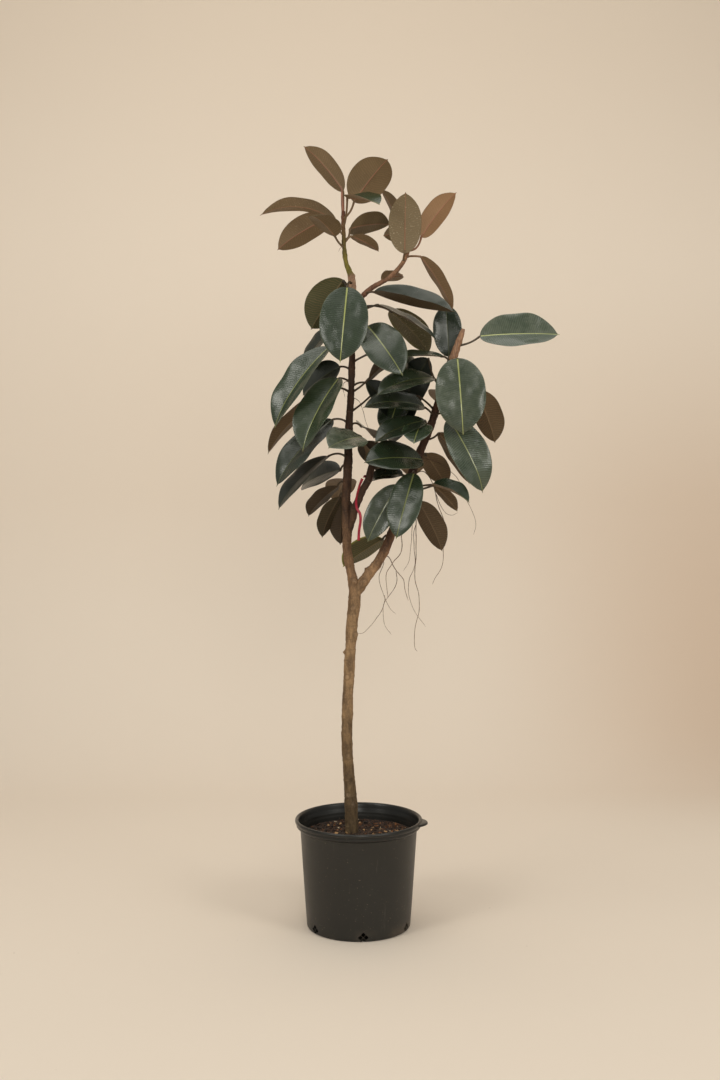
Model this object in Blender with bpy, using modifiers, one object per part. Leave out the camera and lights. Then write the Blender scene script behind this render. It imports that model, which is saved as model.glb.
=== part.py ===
"""A tall potted rubber plant: nursery pot, soil, forked woody stem and leaves.

Every length in the tables is in centimetres and is turned into metres by CM.
+Z is up, the origin is the centre of the pot's underside, and -Y is the front.
"""

import math

import bmesh
import bpy
from mathutils import Vector

CM = 0.01
GAP = 0.04                     # clearance between neighbouring pieces, cm

# ---- driving dimensions of the pot, cm --------------------------------------
POT_HEIGHT = 24.1
RIM_RADIUS = 14.0
WALL_TOP_RADIUS = 12.85
WALL_FOOT_RADIUS = 11.45
WALL_THICKNESS = 0.2
FOOT_ROUNDING = 0.6
POT_STEPS = 44

TAB_REACH = 0.95
TAB_HALF_ANGLE = math.radians(11)
TAB_BEARING = math.radians(-10)
TAB_BOTTOM, TAB_TOP = 23.3, 23.8

DRAIN_CLUSTERS = 6
DRAIN_FIRST_BEARING = math.radians(-85)
DRAIN_SLOT = 0.55
DRAIN_SPREAD = 0.62
DRAIN_HEIGHT = 1.05

SOIL_LEVEL = 20.5
SOIL_MOUND = 0.5

# ---- woody stem: (x, y, z, radius), cm --------------------------------------
LEADER = [
    (-1.6, 0.0, 15.0, 1.45), (-1.6, 0.0, 21.0, 1.40), (-1.7, 0.0, 27.0, 1.38),
    (-2.3, 0.0, 35.5, 1.22), (-2.6, 0.0, 41.5, 1.20), (-2.4, 0.0, 49.5, 1.24),
    (-2.1, 0.0, 54.5, 1.16), (-1.8, 0.0, 61.0, 1.16), (-1.4, 0.0, 67.5, 1.26),
    (-0.9, 0.0, 72.0, 1.34), (-1.0, 0.0, 75.0, 1.15), (-1.9, 0.0, 79.7, 0.95),
    (-2.5, 0.0, 83.5, 0.95), (-2.5, 0.0, 87.5, 0.98), (-2.7, 0.0, 92.5, 0.90),
    (-2.4, 0.0, 100.0, 0.95), (-2.2, 0.0, 104.0, 0.88), (-2.1, 0.0, 110.0, 0.82),
    (-1.7, 0.0, 115.5, 0.76), (-1.4, 0.0, 124.5, 0.68), (-1.3, 0.0, 132.0, 0.62),
    (-1.3, 0.0, 138.0, 0.80), (-1.5, 0.0, 141.5, 0.72), (-2.2, 0.0, 143.5, 0.50),
    (-2.9, 0.0, 146.0, 0.50), (-3.2, 0.0, 151.0, 0.46), (-3.3, 0.0, 155.7, 0.36),
]
RIGHT_BRANCH = [
    (-0.8, 0.0, 73.5, 1.10), (0.3, 0.0, 75.3, 1.25), (2.0, 0.0, 77.6, 1.15),
    (4.0, 0.1, 80.3, 1.02), (5.6, 0.3, 83.0, 0.98), (6.8, 0.5, 85.8, 0.95),
    (8.1, 0.6, 89.3, 0.92), (10.0, 0.8, 95.0, 0.90), (11.6, 0.9, 100.0, 0.88),
    (13.5, 1.0, 105.0, 0.86), (14.8, 1.0, 108.0, 0.84), (16.1, 0.8, 111.5, 0.82),
    (17.2, 0.5, 115.5, 0.78), (18.7, 0.3, 120.0, 0.76), (20.1, 0.1, 124.0, 0.74),
]
MIDDLE_BRANCH = [
    (-2.2, -0.1, 87.5, 0.75), (-1.4, -0.8, 89.6, 0.80), (-0.7, -1.6, 92.5, 0.82),
    (0.7, -2.2, 95.8, 0.80), (2.0, -2.3, 98.4, 0.76), (2.9, -2.0, 101.3, 0.72),
    (4.2, -1.2, 104.2, 0.62), (5.4, -0.4, 107.0, 0.50),
]
UPPER_SHOOT = [
    (-1.3, 0.0, 135.3, 0.55), (-0.4, 0.0, 136.5, 0.58), (0.8, 0.0, 137.7, 0.58),
    (2.8, 0.0, 139.5, 0.54), (5.6, 0.0, 141.0, 0.50), (7.1, 0.0, 142.1, 0.50),
    (8.4, 0.0, 143.4, 0.46), (9.7, 0.0, 145.3, 0.44), (11.1, 0.0, 148.3, 0.34),
]
LEFT_BUD = [
    (-3.32, 0.0, 155.75, 0.30), (-3.4, 0.0, 157.0, 0.34), (-3.5, 0.0, 158.6, 0.26),
    (-3.6, 0.0, 160.0, 0.16), (-3.7, 0.0, 161.0, 0.06),
]
RIGHT_BUD = [
    (20.13, 0.1, 124.06, 0.72), (20.6, 0.1, 125.4, 0.78), (21.3, 0.1, 127.4, 0.74),
    (22.0, 0.0, 129.4, 0.62), (22.5, 0.0, 130.8, 0.38),
]

# ---- leaves, cm -------------------------------------------------------------
# Each row: height of the foot on its limb, neck where the blade begins, tip,
# blade width, the way the upper side faces, the blade's bow over its length and,
# for a leaf folded more or less than usual, how far each half rises, in degrees.
LEADER_LEAVES = [
    (154.4, (-3.3, 2.2, 160.3), (-11.6, 3.0, 170.0), 5.8, (0.6, 0.7, 0.4), 0.05),
    (154.3, (-1.0, -1.5, 157.4), (6.1, -6.0, 165.7), 8.8, (-0.2, 0.9, 0.4), 0.06),
    (152.6, (-2.4, -3.6, 158.0), (4.4, -9.6, 155.9), 7.0, (0.0, -0.25, 1.0), 0.03, 22.0),
    (152.0, (-4.8, 0.5, 153.8), (-21.0, 0.0, 155.2), 6.5, (0.0, 0.35, 1.0), 0.15),
    (150.9, (-5.8, 5.2, 155.2), (-17.8, 6.6, 148.4), 6.6, (0.3, 0.7, 0.7), 0.10),
    (148.3, (-5.0, -1.6, 150.2), (-9.6, -8.0, 153.8), 6.5, (0.3, 0.5, 0.8), 0.06),
    (149.4, (-1.9, 1.4, 152.2), (6.8, 8.5, 154.2), 6.5, (0.0, 0.75, 0.65), 0.05),
    (140.5, (-2.4, -3.2, 139.4), (-3.9, -6.5, 123.4), 10.5, (0.0, -1.0, 0.15), 0.05),
    (139.5, (-3.2, 1.0, 141.3), (-10.4, 3.0, 130.9), 9.0, (-0.3, 0.9, 0.3), 0.05),
    (131.5, (1.9, -2.6, 131.2), (9.2, -9.5, 120.7), 8.7, (-0.2, -0.8, 0.6), 0.09),
    (134.0, (4.2, -0.8, 135.9), (17.0, -2.5, 128.4), 6.5, (0.35, -0.2, 0.9), 0.03),
    (134.8, (6.8, 3.2, 135.0), (15.6, 6.5, 126.0), 7.6, (0.3, 0.6, 0.6), 0.05),
    (124.0, (1.8, 1.6, 125.4), (15.5, 7.5, 121.0), 7.5, (0.0, -0.6, 0.8), 0.08),
    (129.8, (-5.0, 2.2, 131.4), (-12.2, 4.5, 123.0), 6.5, (-0.5, -0.5, 0.7), 0.05),
    (127.3, (-6.3, -1.5, 126.8), (-18.2, -4.5, 109.8), 8.6, (-0.6, -0.72, 0.5), 0.07, 22.0),
    (119.6, (-4.2, -2.0, 120.2), (-12.0, -8.0, 105.0), 9.4, (-0.45, -0.78, 0.5), 0.07, 22.0),
    (117.5, (-8.5, 3.0, 116.5), (-20.2, 4.5, 104.2), 7.0, (-0.45, 0.35, 0.8), 0.05),
    (111.0, (-5.6, -0.6, 111.4), (-17.8, -4.0, 97.4), 8.0, (-0.4, -0.7, 0.6), 0.07),
    (107.8, (0.6, -3.2, 107.7), (-6.2, -12.5, 105.7), 8.0, (0.35, -0.35, 0.87), 0.04),
    (103.6, (-6.6, -1.6, 103.5), (-17.5, -3.0, 92.4), 7.5, (-0.5, -0.4, 0.8), 0.06),
    (101.4, (-4.0, 2.6, 100.4), (-13.0, 8.0, 96.4), 8.4, (-0.1, -0.6, 0.78), 0.06),
    (97.8, (-4.6, 1.6, 97.0), (-11.2, 5.0, 90.4), 6.5, (-0.5, 0.5, 0.6), 0.05),
    (95.4, (-4.2, 2.4, 94.6), (-8.2, 5.5, 85.6), 5.2, (-0.5, 0.7, 0.2), 0.05),
    (136.8, (-1.6, 4.6, 137.8), (-4.5, 19.0, 132.5), 8.5, (0.0, 0.3, 1.0), 0.08),
    (113.4, (3.4, 5.0, 117.4), (10.5, 19.0, 114.4), 8.0, (0.0, 0.3, 1.0), 0.08),
    (98.8, (-3.0, 5.0, 98.4), (-5.0, 18.5, 92.6), 7.0, (0.0, 0.3, 1.0), 0.06),
]
UPPER_SHOOT_LEAVES = [
    (145.3, (9.8, -1.6, 146.6), (9.9, -3.5, 159.2), 7.2, (0.0, 1.0, 0.1), 0.04),
    (146.8, (10.5, 1.9, 149.4), (5.0, 5.0, 161.2), 6.0, (0.9, 0.4, 0.3), 0.03),
    (147.6, (13.4, 0.5, 150.4), (20.8, 2.0, 160.0), 6.0, (-0.4, 0.8, 0.4), 0.05),
    (146.3, (13.3, -1.0, 146.0), (20.3, -2.5, 134.4), 5.4, (0.75, 0.45, 0.5), 0.04),
    (138.6, (3.2, -2.8, 138.4), (20.2, -6.5, 134.0), 9.5, (0.0, -0.37, 0.93), -0.05, 42.0),
    (142.6, (9.4, 2.4, 142.4), (4.9, 5.4, 141.6), 4.4, (0.0, 0.5, 0.87), 0.04),
]
RIGHT_BRANCH_LEAVES = [
    (123.2, (21.0, -3.4, 124.4), (22.1, -7.0, 108.2), 10.9, (0.0, -1.0, 0.15), 0.06),
    (121.5, (25.4, 3.0, 117.8), (30.0, 4.5, 106.4), 7.5, (0.5, 0.8, 0.2), 0.05),
    (112.8, (19.3, -2.6, 111.5), (26.9, -5.5, 96.2), 9.0, (0.25, -0.85, 0.4), 0.06),
    (107.5, (17.4, 2.0, 108.6), (24.4, 3.5, 97.6), 6.5, (0.6, 0.6, 0.4), 0.05),
    (96.9, (15.8, -1.6, 97.4), (23.6, -5.5, 94.0), 5.6, (0.2, -0.45, 0.85), 0.06, 38.0),
    (93.3, (13.0, 1.4, 93.7), (18.4, 2.5, 82.8), 6.2, (0.4, 0.8, 0.3), 0.05),
    (123.8, (18.2, -1.2, 124.9), (6.2, -2.6, 124.0), 6.5, (0.0, -0.25, 1.0), 0.05),
    (121.9, (19.6, 2.4, 125.0), (18.9, 3.2, 136.6), 6.4, (-0.1, -0.95, 0.2), 0.04),
    (118.6, (16.0, -2.4, 120.2), (3.8, -8.0, 116.8), 7.5, (-0.1, -0.55, 0.8), 0.08),
    (112.6, (14.2, -1.2, 114.0), (1.0, -4.0, 114.2), 7.5, (0.0, -0.6, 0.8), 0.10),
    (109.3, (14.2, -3.2, 111.2), (3.3, -8.0, 106.8), 7.0, (-0.2, -0.6, 0.75), 0.06),
    (101.6, (13.6, -3.4, 102.8), (1.2, -9.5, 102.6), 9.2, (0.0, -0.7, 0.7), 0.06),
    (99.8, (11.8, -4.2, 100.0), (7.9, -9.2, 86.4), 7.2, (-0.1, -0.95, 0.3), 0.05),
    (96.4, (8.4, -2.4, 97.4), (1.8, -4.6, 85.4), 6.8, (-0.3, -0.9, 0.3), 0.04),
    (116.0, (18.0, 4.4, 117.8), (22.0, 19.0, 113.0), 8.5, (0.0, 0.3, 1.0), 0.08),
    (102.8, (12.6, 5.0, 104.0), (12.0, 18.5, 98.5), 8.0, (0.0, 0.3, 1.0), 0.08),
    (86.0, (5.3, 2.5, 85.5), (-3.6, 5.6, 79.2), 8.2, (-0.3, 0.6, 0.7), 0.02),
]
BUD_LEAVES = [
    (127.6, (26.0, 0.0, 129.2), (43.0, -1.0, 129.5), 10.0, (0.0, -0.8, 0.6), 0.03, 22.0),
]

PETIOLE_RADIUS = 0.22
BLADE_THICKNESS = 0.16
BLADE_FOLD = 13.0
LEAF_SIDES = 8
PETIOLE_STATIONS = 3
PETIOLE_RISE = 0.25
PETIOLE_COLLAR = 0.15
BLADE_STATIONS = (0.03, 0.14, 0.32, 0.54, 0.76, 0.92, 1.0)

# ---- aerial roots: routes from the right branch, cm -------------------------
AERIAL_ROOT_RADIUS = 0.09
AERIAL_ROOTS = [
    [(8.9, -0.3, 90.2), (9.4, -1.2, 88.6), (9.4, -1.4, 86.2), (9.2, -1.4, 83.0),
     (7.2, -1.3, 80.4), (6.0, -1.4, 78.0), (6.1, -1.6, 75.4), (6.4, -1.6, 72.8)],
    [(5.7, 1.4, 82.0), (6.8, 2.2, 81.2), (8.2, 2.6, 78.4), (9.8, 2.7, 76.6),
     (10.2, 2.8, 74.2), (10.9, 2.8, 71.8)],
    [(11.2, 1.9, 96.6), (12.2, 4.4, 94.4), (12.6, 5.0, 88.4), (12.6, 5.0, 82.0),
     (12.6, 4.8, 76.4), (13.2, 4.8, 73.2), (13.2, 4.8, 69.0), (12.4, 4.7, 65.2),
     (12.4, 4.8, 61.4), (13.0, 4.8, 60.2)],
    [(12.3, 1.9, 99.8), (14.4, 5.0, 100.0), (16.2, 6.2, 97.6), (17.1, 6.4, 95.0),
     (17.6, 6.4, 92.0), (18.9, 6.3, 89.2), (18.7, 6.2, 86.0), (18.8, 6.2, 82.4),
     (18.6, 6.2, 79.4), (17.0, 6.1, 76.6), (16.3, 6.1, 75.0)],
]

# ---- marker ribbon ----------------------------------------------------------
RIBBON_HALF_WIDTH = 0.3
RIBBON_THICKNESS = 0.08
RIBBON_ROUTE = [
    (0.8, -3.3, 98.8), (0.1, -3.4, 97.0), (-0.5, -3.1, 94.4), (-0.4, -2.9, 92.6),
    (0.3, -2.9, 91.2), (0.4, -2.9, 89.6), (0.1, -2.8, 87.6), (0.0, -2.8, 85.5),
]


# ---- scene helpers ----------------------------------------------------------
def clear_scene():
    """Remove every object that the file opens with."""
    for item in list(bpy.data.objects):
        bpy.data.objects.remove(item, do_unlink=True)


def new_collection(name):
    group = bpy.data.collections.new(name)
    bpy.context.scene.collection.children.link(group)
    return group


def new_material(name, color, roughness):
    material = bpy.data.materials.new(name)
    material.use_nodes = True
    shader = material.node_tree.nodes["Principled BSDF"]
    shader.inputs["Base Color"].default_value = (*color, 1.0)
    shader.inputs["Roughness"].default_value = roughness
    shader.inputs["Metallic"].default_value = 0.0
    return material


def add_object(name, data, group, material=None):
    item = bpy.data.objects.new(name, data)
    group.objects.link(item)
    if material:
        data.materials.append(material)
    return item


def mesh_from_bmesh(name, shape):
    bmesh.ops.recalc_face_normals(shape, faces=shape.faces)
    mesh = bpy.data.meshes.new(name)
    shape.to_mesh(mesh)
    shape.free()
    mesh.shade_smooth()
    mesh.set_sharp_from_angle(angle=math.radians(40))
    return mesh


def hide_operand(item):
    item.hide_render = True
    item.display_type = "WIRE"


def add_boolean(target, operand, operation):
    modifier = target.modifiers.new(operand.name, "BOOLEAN")
    modifier.object = operand
    modifier.operation = operation
    modifier.solver = "EXACT"


# ---- smooth routes and tubes ------------------------------------------------
def smooth_route(points, samples):
    """Points on the Catmull-Rom curve through the given points."""
    vectors = [Vector(point) for point in points]
    padded = [2 * vectors[0] - vectors[1], *vectors, 2 * vectors[-1] - vectors[-2]]
    route = []
    for a, b, c, d in zip(padded, padded[1:], padded[2:], padded[3:]):
        for step in range(samples):
            t = step / samples
            route.append(0.5 * (2 * b + (c - a) * t + (2 * a - 5 * b + 4 * c - d) * t ** 2
                                + (3 * b - a - 3 * c + d) * t ** 3))
    route.append(vectors[-1])
    return route


def tube_mesh(name, points, samples=2, grow=0.0, resolution=2):
    """A closed tube mesh through (x, y, z, radius) points, widened by grow."""
    route = smooth_route(points, samples)
    curve = bpy.data.curves.new(name, "CURVE")
    curve.dimensions = "3D"
    curve.bevel_depth = CM
    curve.bevel_resolution = resolution
    curve.use_fill_caps = True
    spline = curve.splines.new("POLY")
    spline.points.add(len(route) - 1)
    for node, place in zip(spline.points, route):
        node.co = (*(CM * place.xyz), 1.0)
        node.radius = place[3] + grow
    holder = bpy.data.objects.new(name, curve)
    bpy.context.scene.collection.objects.link(holder)
    graph = bpy.context.evaluated_depsgraph_get()
    mesh = bpy.data.meshes.new_from_object(holder.evaluated_get(graph))
    bpy.data.objects.remove(holder, do_unlink=True)
    bpy.data.curves.remove(curve)
    shape = bmesh.new()
    shape.from_mesh(mesh)
    bpy.data.meshes.remove(mesh)
    bmesh.ops.remove_doubles(shape, verts=shape.verts, dist=1e-5)
    return mesh_from_bmesh(name, shape)


def limb_at(limb, height):
    """Centre, direction and radius of a limb where it passes a height."""
    route = smooth_route(limb, 8)
    for low, high in zip(route, route[1:]):
        if low[2] <= height <= high[2]:
            share = (height - low[2]) / (high[2] - low[2])
            place = low.lerp(high, share)
            return place.xyz, (high - low).xyz.normalized(), place[3]
    raise ValueError(f"no limb at height {height}")


# ---- the pieces -------------------------------------------------------------
def turned_object(name, profile, group, material):
    """A solid of revolution from (radius, height) points, axis to axis."""
    mesh = bpy.data.meshes.new(name)
    points = [(CM * radius, 0.0, CM * height) for radius, height in profile]
    edges = [(index, index + 1) for index in range(len(points) - 1)]
    mesh.from_pydata(points, edges, [])
    item = add_object(name, mesh, group, material)
    screw = item.modifiers.new("turn", "SCREW")
    screw.steps = screw.render_steps = POT_STEPS
    screw.use_merge_vertices = True
    screw.merge_threshold = 1e-5
    screw.use_smooth_shade = True
    return item


def foot_arc(radius, steps):
    """The rounded foot edge between the wall and the underside."""
    centre = radius - FOOT_ROUNDING
    for step in range(steps + 1):
        angle = math.pi / 2 * step / steps
        yield (centre + FOOT_ROUNDING * math.cos(angle),
               FOOT_ROUNDING * (1 - math.sin(angle)))


def wall_radius(height):
    """Outer radius of the tapered wall at a height."""
    share = height / (POT_HEIGHT - 2.0)
    return WALL_FOOT_RADIUS + (WALL_TOP_RADIUS - WALL_FOOT_RADIUS) * share


def pot_profile():
    """Inner floor, inner wall, rolled double lip, outer wall and rounded foot."""
    floor_top = WALL_THICKNESS + 0.05
    inner_foot = WALL_FOOT_RADIUS - FOOT_ROUNDING - 0.1
    inner = [(0.0, floor_top), (inner_foot, floor_top),
             (wall_radius(1.0) - WALL_THICKNESS, 1.0),
             (wall_radius(22.0) - WALL_THICKNESS, 22.0)]
    lip = [(RIM_RADIUS - 1.0, 22.9), (RIM_RADIUS - 0.8, 23.8),
           (RIM_RADIUS - 0.45, POT_HEIGHT), (RIM_RADIUS - 0.12, 24.0),
           (RIM_RADIUS, 23.7), (RIM_RADIUS - 0.05, 23.3), (RIM_RADIUS - 0.35, 23.1),
           (RIM_RADIUS - 0.28, 22.8), (RIM_RADIUS - 0.3, 22.5), (RIM_RADIUS - 0.7, 22.2)]
    outer = [(wall_radius(22.0), 22.0), *foot_arc(WALL_FOOT_RADIUS, 4)]
    return [*inner, *lip, *outer, (0.0, 0.0)]


def rim_tab(group):
    """The pull tab: a flat half moon that stands out of the rim."""
    curve = bpy.data.curves.new("rim_tab", "CURVE")
    curve.dimensions = "2D"
    curve.fill_mode = "BOTH"
    curve.extrude = CM * (TAB_TOP - TAB_BOTTOM) / 2
    spline = curve.splines.new("POLY")
    outline = []
    steps = 12
    for step in range(steps + 1):
        share = 2 * step / steps - 1
        reach = RIM_RADIUS + 0.02 - 0.3 * abs(share) + TAB_REACH * math.cos(share * math.pi / 2) ** 0.8
        angle = TAB_BEARING + share * TAB_HALF_ANGLE
        outline.append((reach * math.cos(angle), reach * math.sin(angle)))
    for share in (1.0, 0.5, 0.0, -0.5, -1.0):
        angle = TAB_BEARING + share * TAB_HALF_ANGLE
        root = RIM_RADIUS - 0.5
        outline.append((root * math.cos(angle), root * math.sin(angle)))
    spline.points.add(len(outline) - 1)
    for node, (x, y) in zip(spline.points, outline):
        node.co = (CM * x, CM * y, 0.0, 1.0)
    spline.use_cyclic_u = True
    holder = add_object("rim_tab", curve, group)
    holder.location.z = CM * (TAB_TOP + TAB_BOTTOM) / 2
    graph = bpy.context.evaluated_depsgraph_get()
    graph.update()
    mesh = bpy.data.meshes.new_from_object(holder.evaluated_get(graph))
    place = holder.matrix_world.copy()
    bpy.data.objects.remove(holder, do_unlink=True)
    shape = bmesh.new()
    shape.from_mesh(mesh)
    bmesh.ops.remove_doubles(shape, verts=shape.verts, dist=1e-5)
    item = add_object("rim_tab", mesh_from_bmesh("rim_tab", shape), group)
    item.matrix_world = place
    hide_operand(item)
    return item


def drain_slots(group):
    """Four slanted slots round an X of ribs, at each place round the foot."""
    shape = bmesh.new()
    for cluster in range(DRAIN_CLUSTERS):
        bearing = DRAIN_FIRST_BEARING + 2 * math.pi * cluster / DRAIN_CLUSTERS
        outward = Vector((math.cos(bearing), math.sin(bearing), 0.0))
        across = Vector((-math.sin(bearing), math.cos(bearing), 0.0))
        for side, rise in ((-1, 0), (1, 0), (0, 1), (0, -1)):
            block = bmesh.ops.create_cube(shape, size=1.0)["verts"]
            for vert in block:
                u, v, w = vert.co
                slant_u, slant_v = (u + v) * DRAIN_SLOT, (v - u) * DRAIN_SLOT
                place = (outward * (WALL_FOOT_RADIUS - 0.3 + 1.6 * w)
                         + across * (side * DRAIN_SPREAD + slant_u))
                place.z = DRAIN_HEIGHT + rise * DRAIN_SPREAD + slant_v
                vert.co = place * CM
    item = add_object("drain_slots", mesh_from_bmesh("drain_slots", shape), group)
    hide_operand(item)
    return item


def build_pot(group, operands, material):
    pot = turned_object("nursery_pot", pot_profile(), group, material)
    add_boolean(pot, rim_tab(operands), "UNION")
    add_boolean(pot, drain_slots(operands), "DIFFERENCE")


def build_soil(group, operands, material):
    """Soil fills the pot up to its level, around the foot of the trunk."""
    clear = WALL_THICKNESS + GAP
    floor = WALL_THICKNESS + 0.05 + GAP
    edge = wall_radius(SOIL_LEVEL) - clear - 0.02
    inner_foot = WALL_FOOT_RADIUS - FOOT_ROUNDING - 0.1
    profile = [(0.0, SOIL_LEVEL + SOIL_MOUND), (3.5, SOIL_LEVEL + SOIL_MOUND * 0.9),
               (8.0, SOIL_LEVEL + SOIL_MOUND * 0.3), (edge - 0.4, SOIL_LEVEL),
               (edge, SOIL_LEVEL - 0.3), (wall_radius(1.0) - clear - 0.05, 1.05),
               (inner_foot - 0.05, floor), (0.0, floor)]
    soil = turned_object("potting_soil", profile, group, material)
    foot = [(-1.6, 0.0, 15.0 - GAP, 1.45), *LEADER[1:4]]
    socket = add_object("trunk_socket", tube_mesh("trunk_socket", foot, grow=GAP), operands)
    hide_operand(socket)
    add_boolean(soil, socket, "DIFFERENCE")


def build_stem(group, operands, material):
    """Trunk and leader, with the three other limbs joined on."""
    stem = add_object("woody_stem", tube_mesh("woody_stem", LEADER), group, material)
    for name, limb in (("right_branch", RIGHT_BRANCH), ("middle_branch", MIDDLE_BRANCH),
                       ("upper_shoot", UPPER_SHOOT)):
        operand = add_object(name, tube_mesh(name, limb), operands)
        hide_operand(operand)
        add_boolean(stem, operand, "UNION")


def blade_half_width(share, width):
    """Half the blade's width at a share of its length: full at the base, pointed at the tip."""
    if share < 0.5:
        return width / 2 * (1 - abs(2 * share - 1) ** 2.2) ** 0.55
    return width / 2 * (1 - abs(2 * share - 1) ** 1.9) ** 0.62


def leaf_stations(limb, row):
    """Centre, upward normal, half width, half thickness and fold of each section."""
    foot_height, neck, tip, width, face, bow, *special = row
    fold = math.radians(special[0] if special else BLADE_FOLD)
    neck, tip, face = Vector(neck), Vector(tip), Vector(face)
    centre, direction, radius = limb_at(limb, foot_height)
    radial = neck - centre
    radial = (radial - direction * radial.dot(direction)).normalized()
    foot = centre + radial * (radius + 2 * GAP)
    along = tip - neck
    upward = (face - along * face.dot(along) / along.length_squared).normalized()
    collar = foot + radial * PETIOLE_COLLAR
    bend = collar + (radial * 0.45 + direction * PETIOLE_RISE) * (neck - foot).length
    stations = [(foot, upward, PETIOLE_RADIUS, PETIOLE_RADIUS, 0.0)]
    for step in range(PETIOLE_STATIONS):
        t = step / PETIOLE_STATIONS
        place = collar * (1 - t) ** 2 + bend * 2 * t * (1 - t) + neck * t ** 2
        stations.append((place, upward, PETIOLE_RADIUS, PETIOLE_RADIUS, 0.0))
    for share in BLADE_STATIONS:
        place = neck + along * share + upward * along.length * bow * 4 * share * (1 - share)
        half = max(blade_half_width(share, width), 0.12)
        stations.append((place, upward, half, BLADE_THICKNESS / 2, fold))
    return stations


def leaf_mesh(name, limb, row):
    """One closed loft from the petiole's foot to the blade's tip."""
    stations = leaf_stations(limb, row)
    shape = bmesh.new()
    rings = []
    for index, (place, upward, half, thick, fold) in enumerate(stations):
        before = stations[max(index - 1, 0)][0]
        after = stations[min(index + 1, len(stations) - 1)][0]
        tangent = (after - before).normalized()
        side = tangent.cross(upward).normalized()
        normal = side.cross(tangent)
        ring = []
        for corner in range(LEAF_SIDES):
            angle = 2 * math.pi * corner / LEAF_SIDES
            across, rise = math.cos(angle), math.sin(angle)
            offset = (side * half * across * math.cos(fold)
                      + normal * (thick * rise + half * abs(across) * math.sin(fold)))
            ring.append(shape.verts.new((place + offset) * CM))
        rings.append(ring)
    for low, high in zip(rings, rings[1:]):
        for corner in range(LEAF_SIDES):
            following = (corner + 1) % LEAF_SIDES
            shape.faces.new((low[corner], low[following], high[following], high[corner]))
    shape.faces.new(reversed(rings[0]))
    shape.faces.new(rings[-1])
    return mesh_from_bmesh(name, shape)


def build_leaves(group, material):
    """Every leaf is its own piece, named for the limb that it grows on."""
    for limb_name, limb, rows in (("leader", LEADER, LEADER_LEAVES),
                                  ("upper_shoot", UPPER_SHOOT, UPPER_SHOOT_LEAVES),
                                  ("right_branch", RIGHT_BRANCH, RIGHT_BRANCH_LEAVES),
                                  ("right_bud", RIGHT_BUD, BUD_LEAVES)):
        for number, row in enumerate(rows, 1):
            name = f"{limb_name}_leaf_{number:02d}"
            add_object(name, leaf_mesh(name, limb, row), group, material)


def build_roots(group, material):
    for number, route in enumerate(AERIAL_ROOTS, 1):
        name = f"aerial_root_{number}"
        points = [(*place, AERIAL_ROOT_RADIUS) for place in route]
        add_object(name, tube_mesh(name, points, resolution=1), group, material)


def build_ribbon(group, material):
    """A flat tape beside the middle branch, with its tail hanging free."""
    route = smooth_route(RIBBON_ROUTE, 2)
    shape = bmesh.new()
    rings = []
    for place in route:
        ring = []
        for across, deep in ((-1, -1), (1, -1), (1, 1), (-1, 1)):
            corner = place + Vector((across * RIBBON_HALF_WIDTH, deep * RIBBON_THICKNESS / 2, 0.0))
            ring.append(shape.verts.new(corner * CM))
        rings.append(ring)
    for low, high in zip(rings, rings[1:]):
        for index in range(4):
            following = (index + 1) % 4
            shape.faces.new((low[index], low[following], high[following], high[index]))
    shape.faces.new(rings[0])
    shape.faces.new(rings[-1])
    add_object("marker_ribbon", mesh_from_bmesh("marker_ribbon", shape), group, material)


def main():
    clear_scene()
    plant = new_collection("potted_rubber_plant")
    operands = new_collection("operands")
    build_pot(plant, operands, new_material("pot_plastic", (0.022, 0.021, 0.019), 0.55))
    build_soil(plant, operands, new_material("soil", (0.045, 0.026, 0.015), 0.95))
    build_stem(plant, operands, new_material("bark", (0.16, 0.11, 0.07), 0.85))
    bud = new_material("bud_sheath", (0.42, 0.13, 0.07), 0.5)
    add_object("left_bud_sheath", tube_mesh("left_bud_sheath", LEFT_BUD), plant, bud)
    add_object("right_bud_sheath", tube_mesh("right_bud_sheath", RIGHT_BUD), plant, bud)
    build_leaves(plant, new_material("leaf", (0.022, 0.045, 0.032), 0.32))
    build_roots(plant, new_material("root", (0.30, 0.19, 0.12), 0.8))
    build_ribbon(plant, new_material("ribbon", (0.42, 0.01, 0.04), 0.45))


if __name__ == "__main__":
    main()
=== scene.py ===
"""Looks of a tall potted rubber plant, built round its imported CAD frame.

Lengths in the tables are centimetres, turned into metres by CM.  +Z is up, the
origin is the centre of the pot's underside, and -Y is the front.
"""

from __future__ import annotations

import logging
import math
from dataclasses import dataclass, field
from enum import Enum
from typing import Callable, ClassVar, Sequence

import bpy
import numpy as np
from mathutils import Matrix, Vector

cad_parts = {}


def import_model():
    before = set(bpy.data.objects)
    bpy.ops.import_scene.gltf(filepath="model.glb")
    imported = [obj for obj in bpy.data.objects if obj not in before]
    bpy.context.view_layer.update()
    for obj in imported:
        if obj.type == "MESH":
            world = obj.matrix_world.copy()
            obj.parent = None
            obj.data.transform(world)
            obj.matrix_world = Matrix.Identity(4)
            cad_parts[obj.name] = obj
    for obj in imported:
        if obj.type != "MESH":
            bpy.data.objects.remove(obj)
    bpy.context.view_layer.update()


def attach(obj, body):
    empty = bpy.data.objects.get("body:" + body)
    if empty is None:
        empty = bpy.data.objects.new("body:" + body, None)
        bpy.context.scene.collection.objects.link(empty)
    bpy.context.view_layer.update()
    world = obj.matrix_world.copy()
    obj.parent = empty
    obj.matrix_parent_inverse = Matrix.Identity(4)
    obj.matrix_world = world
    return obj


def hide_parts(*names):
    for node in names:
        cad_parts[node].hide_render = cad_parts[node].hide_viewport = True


LOG = logging.getLogger("rubber_plant")
CM = 0.01
VEIN_SLANT = 0.32
VEIN_GAP = 0.92
Array = np.ndarray
Colour = tuple[float, float, float]


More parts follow.
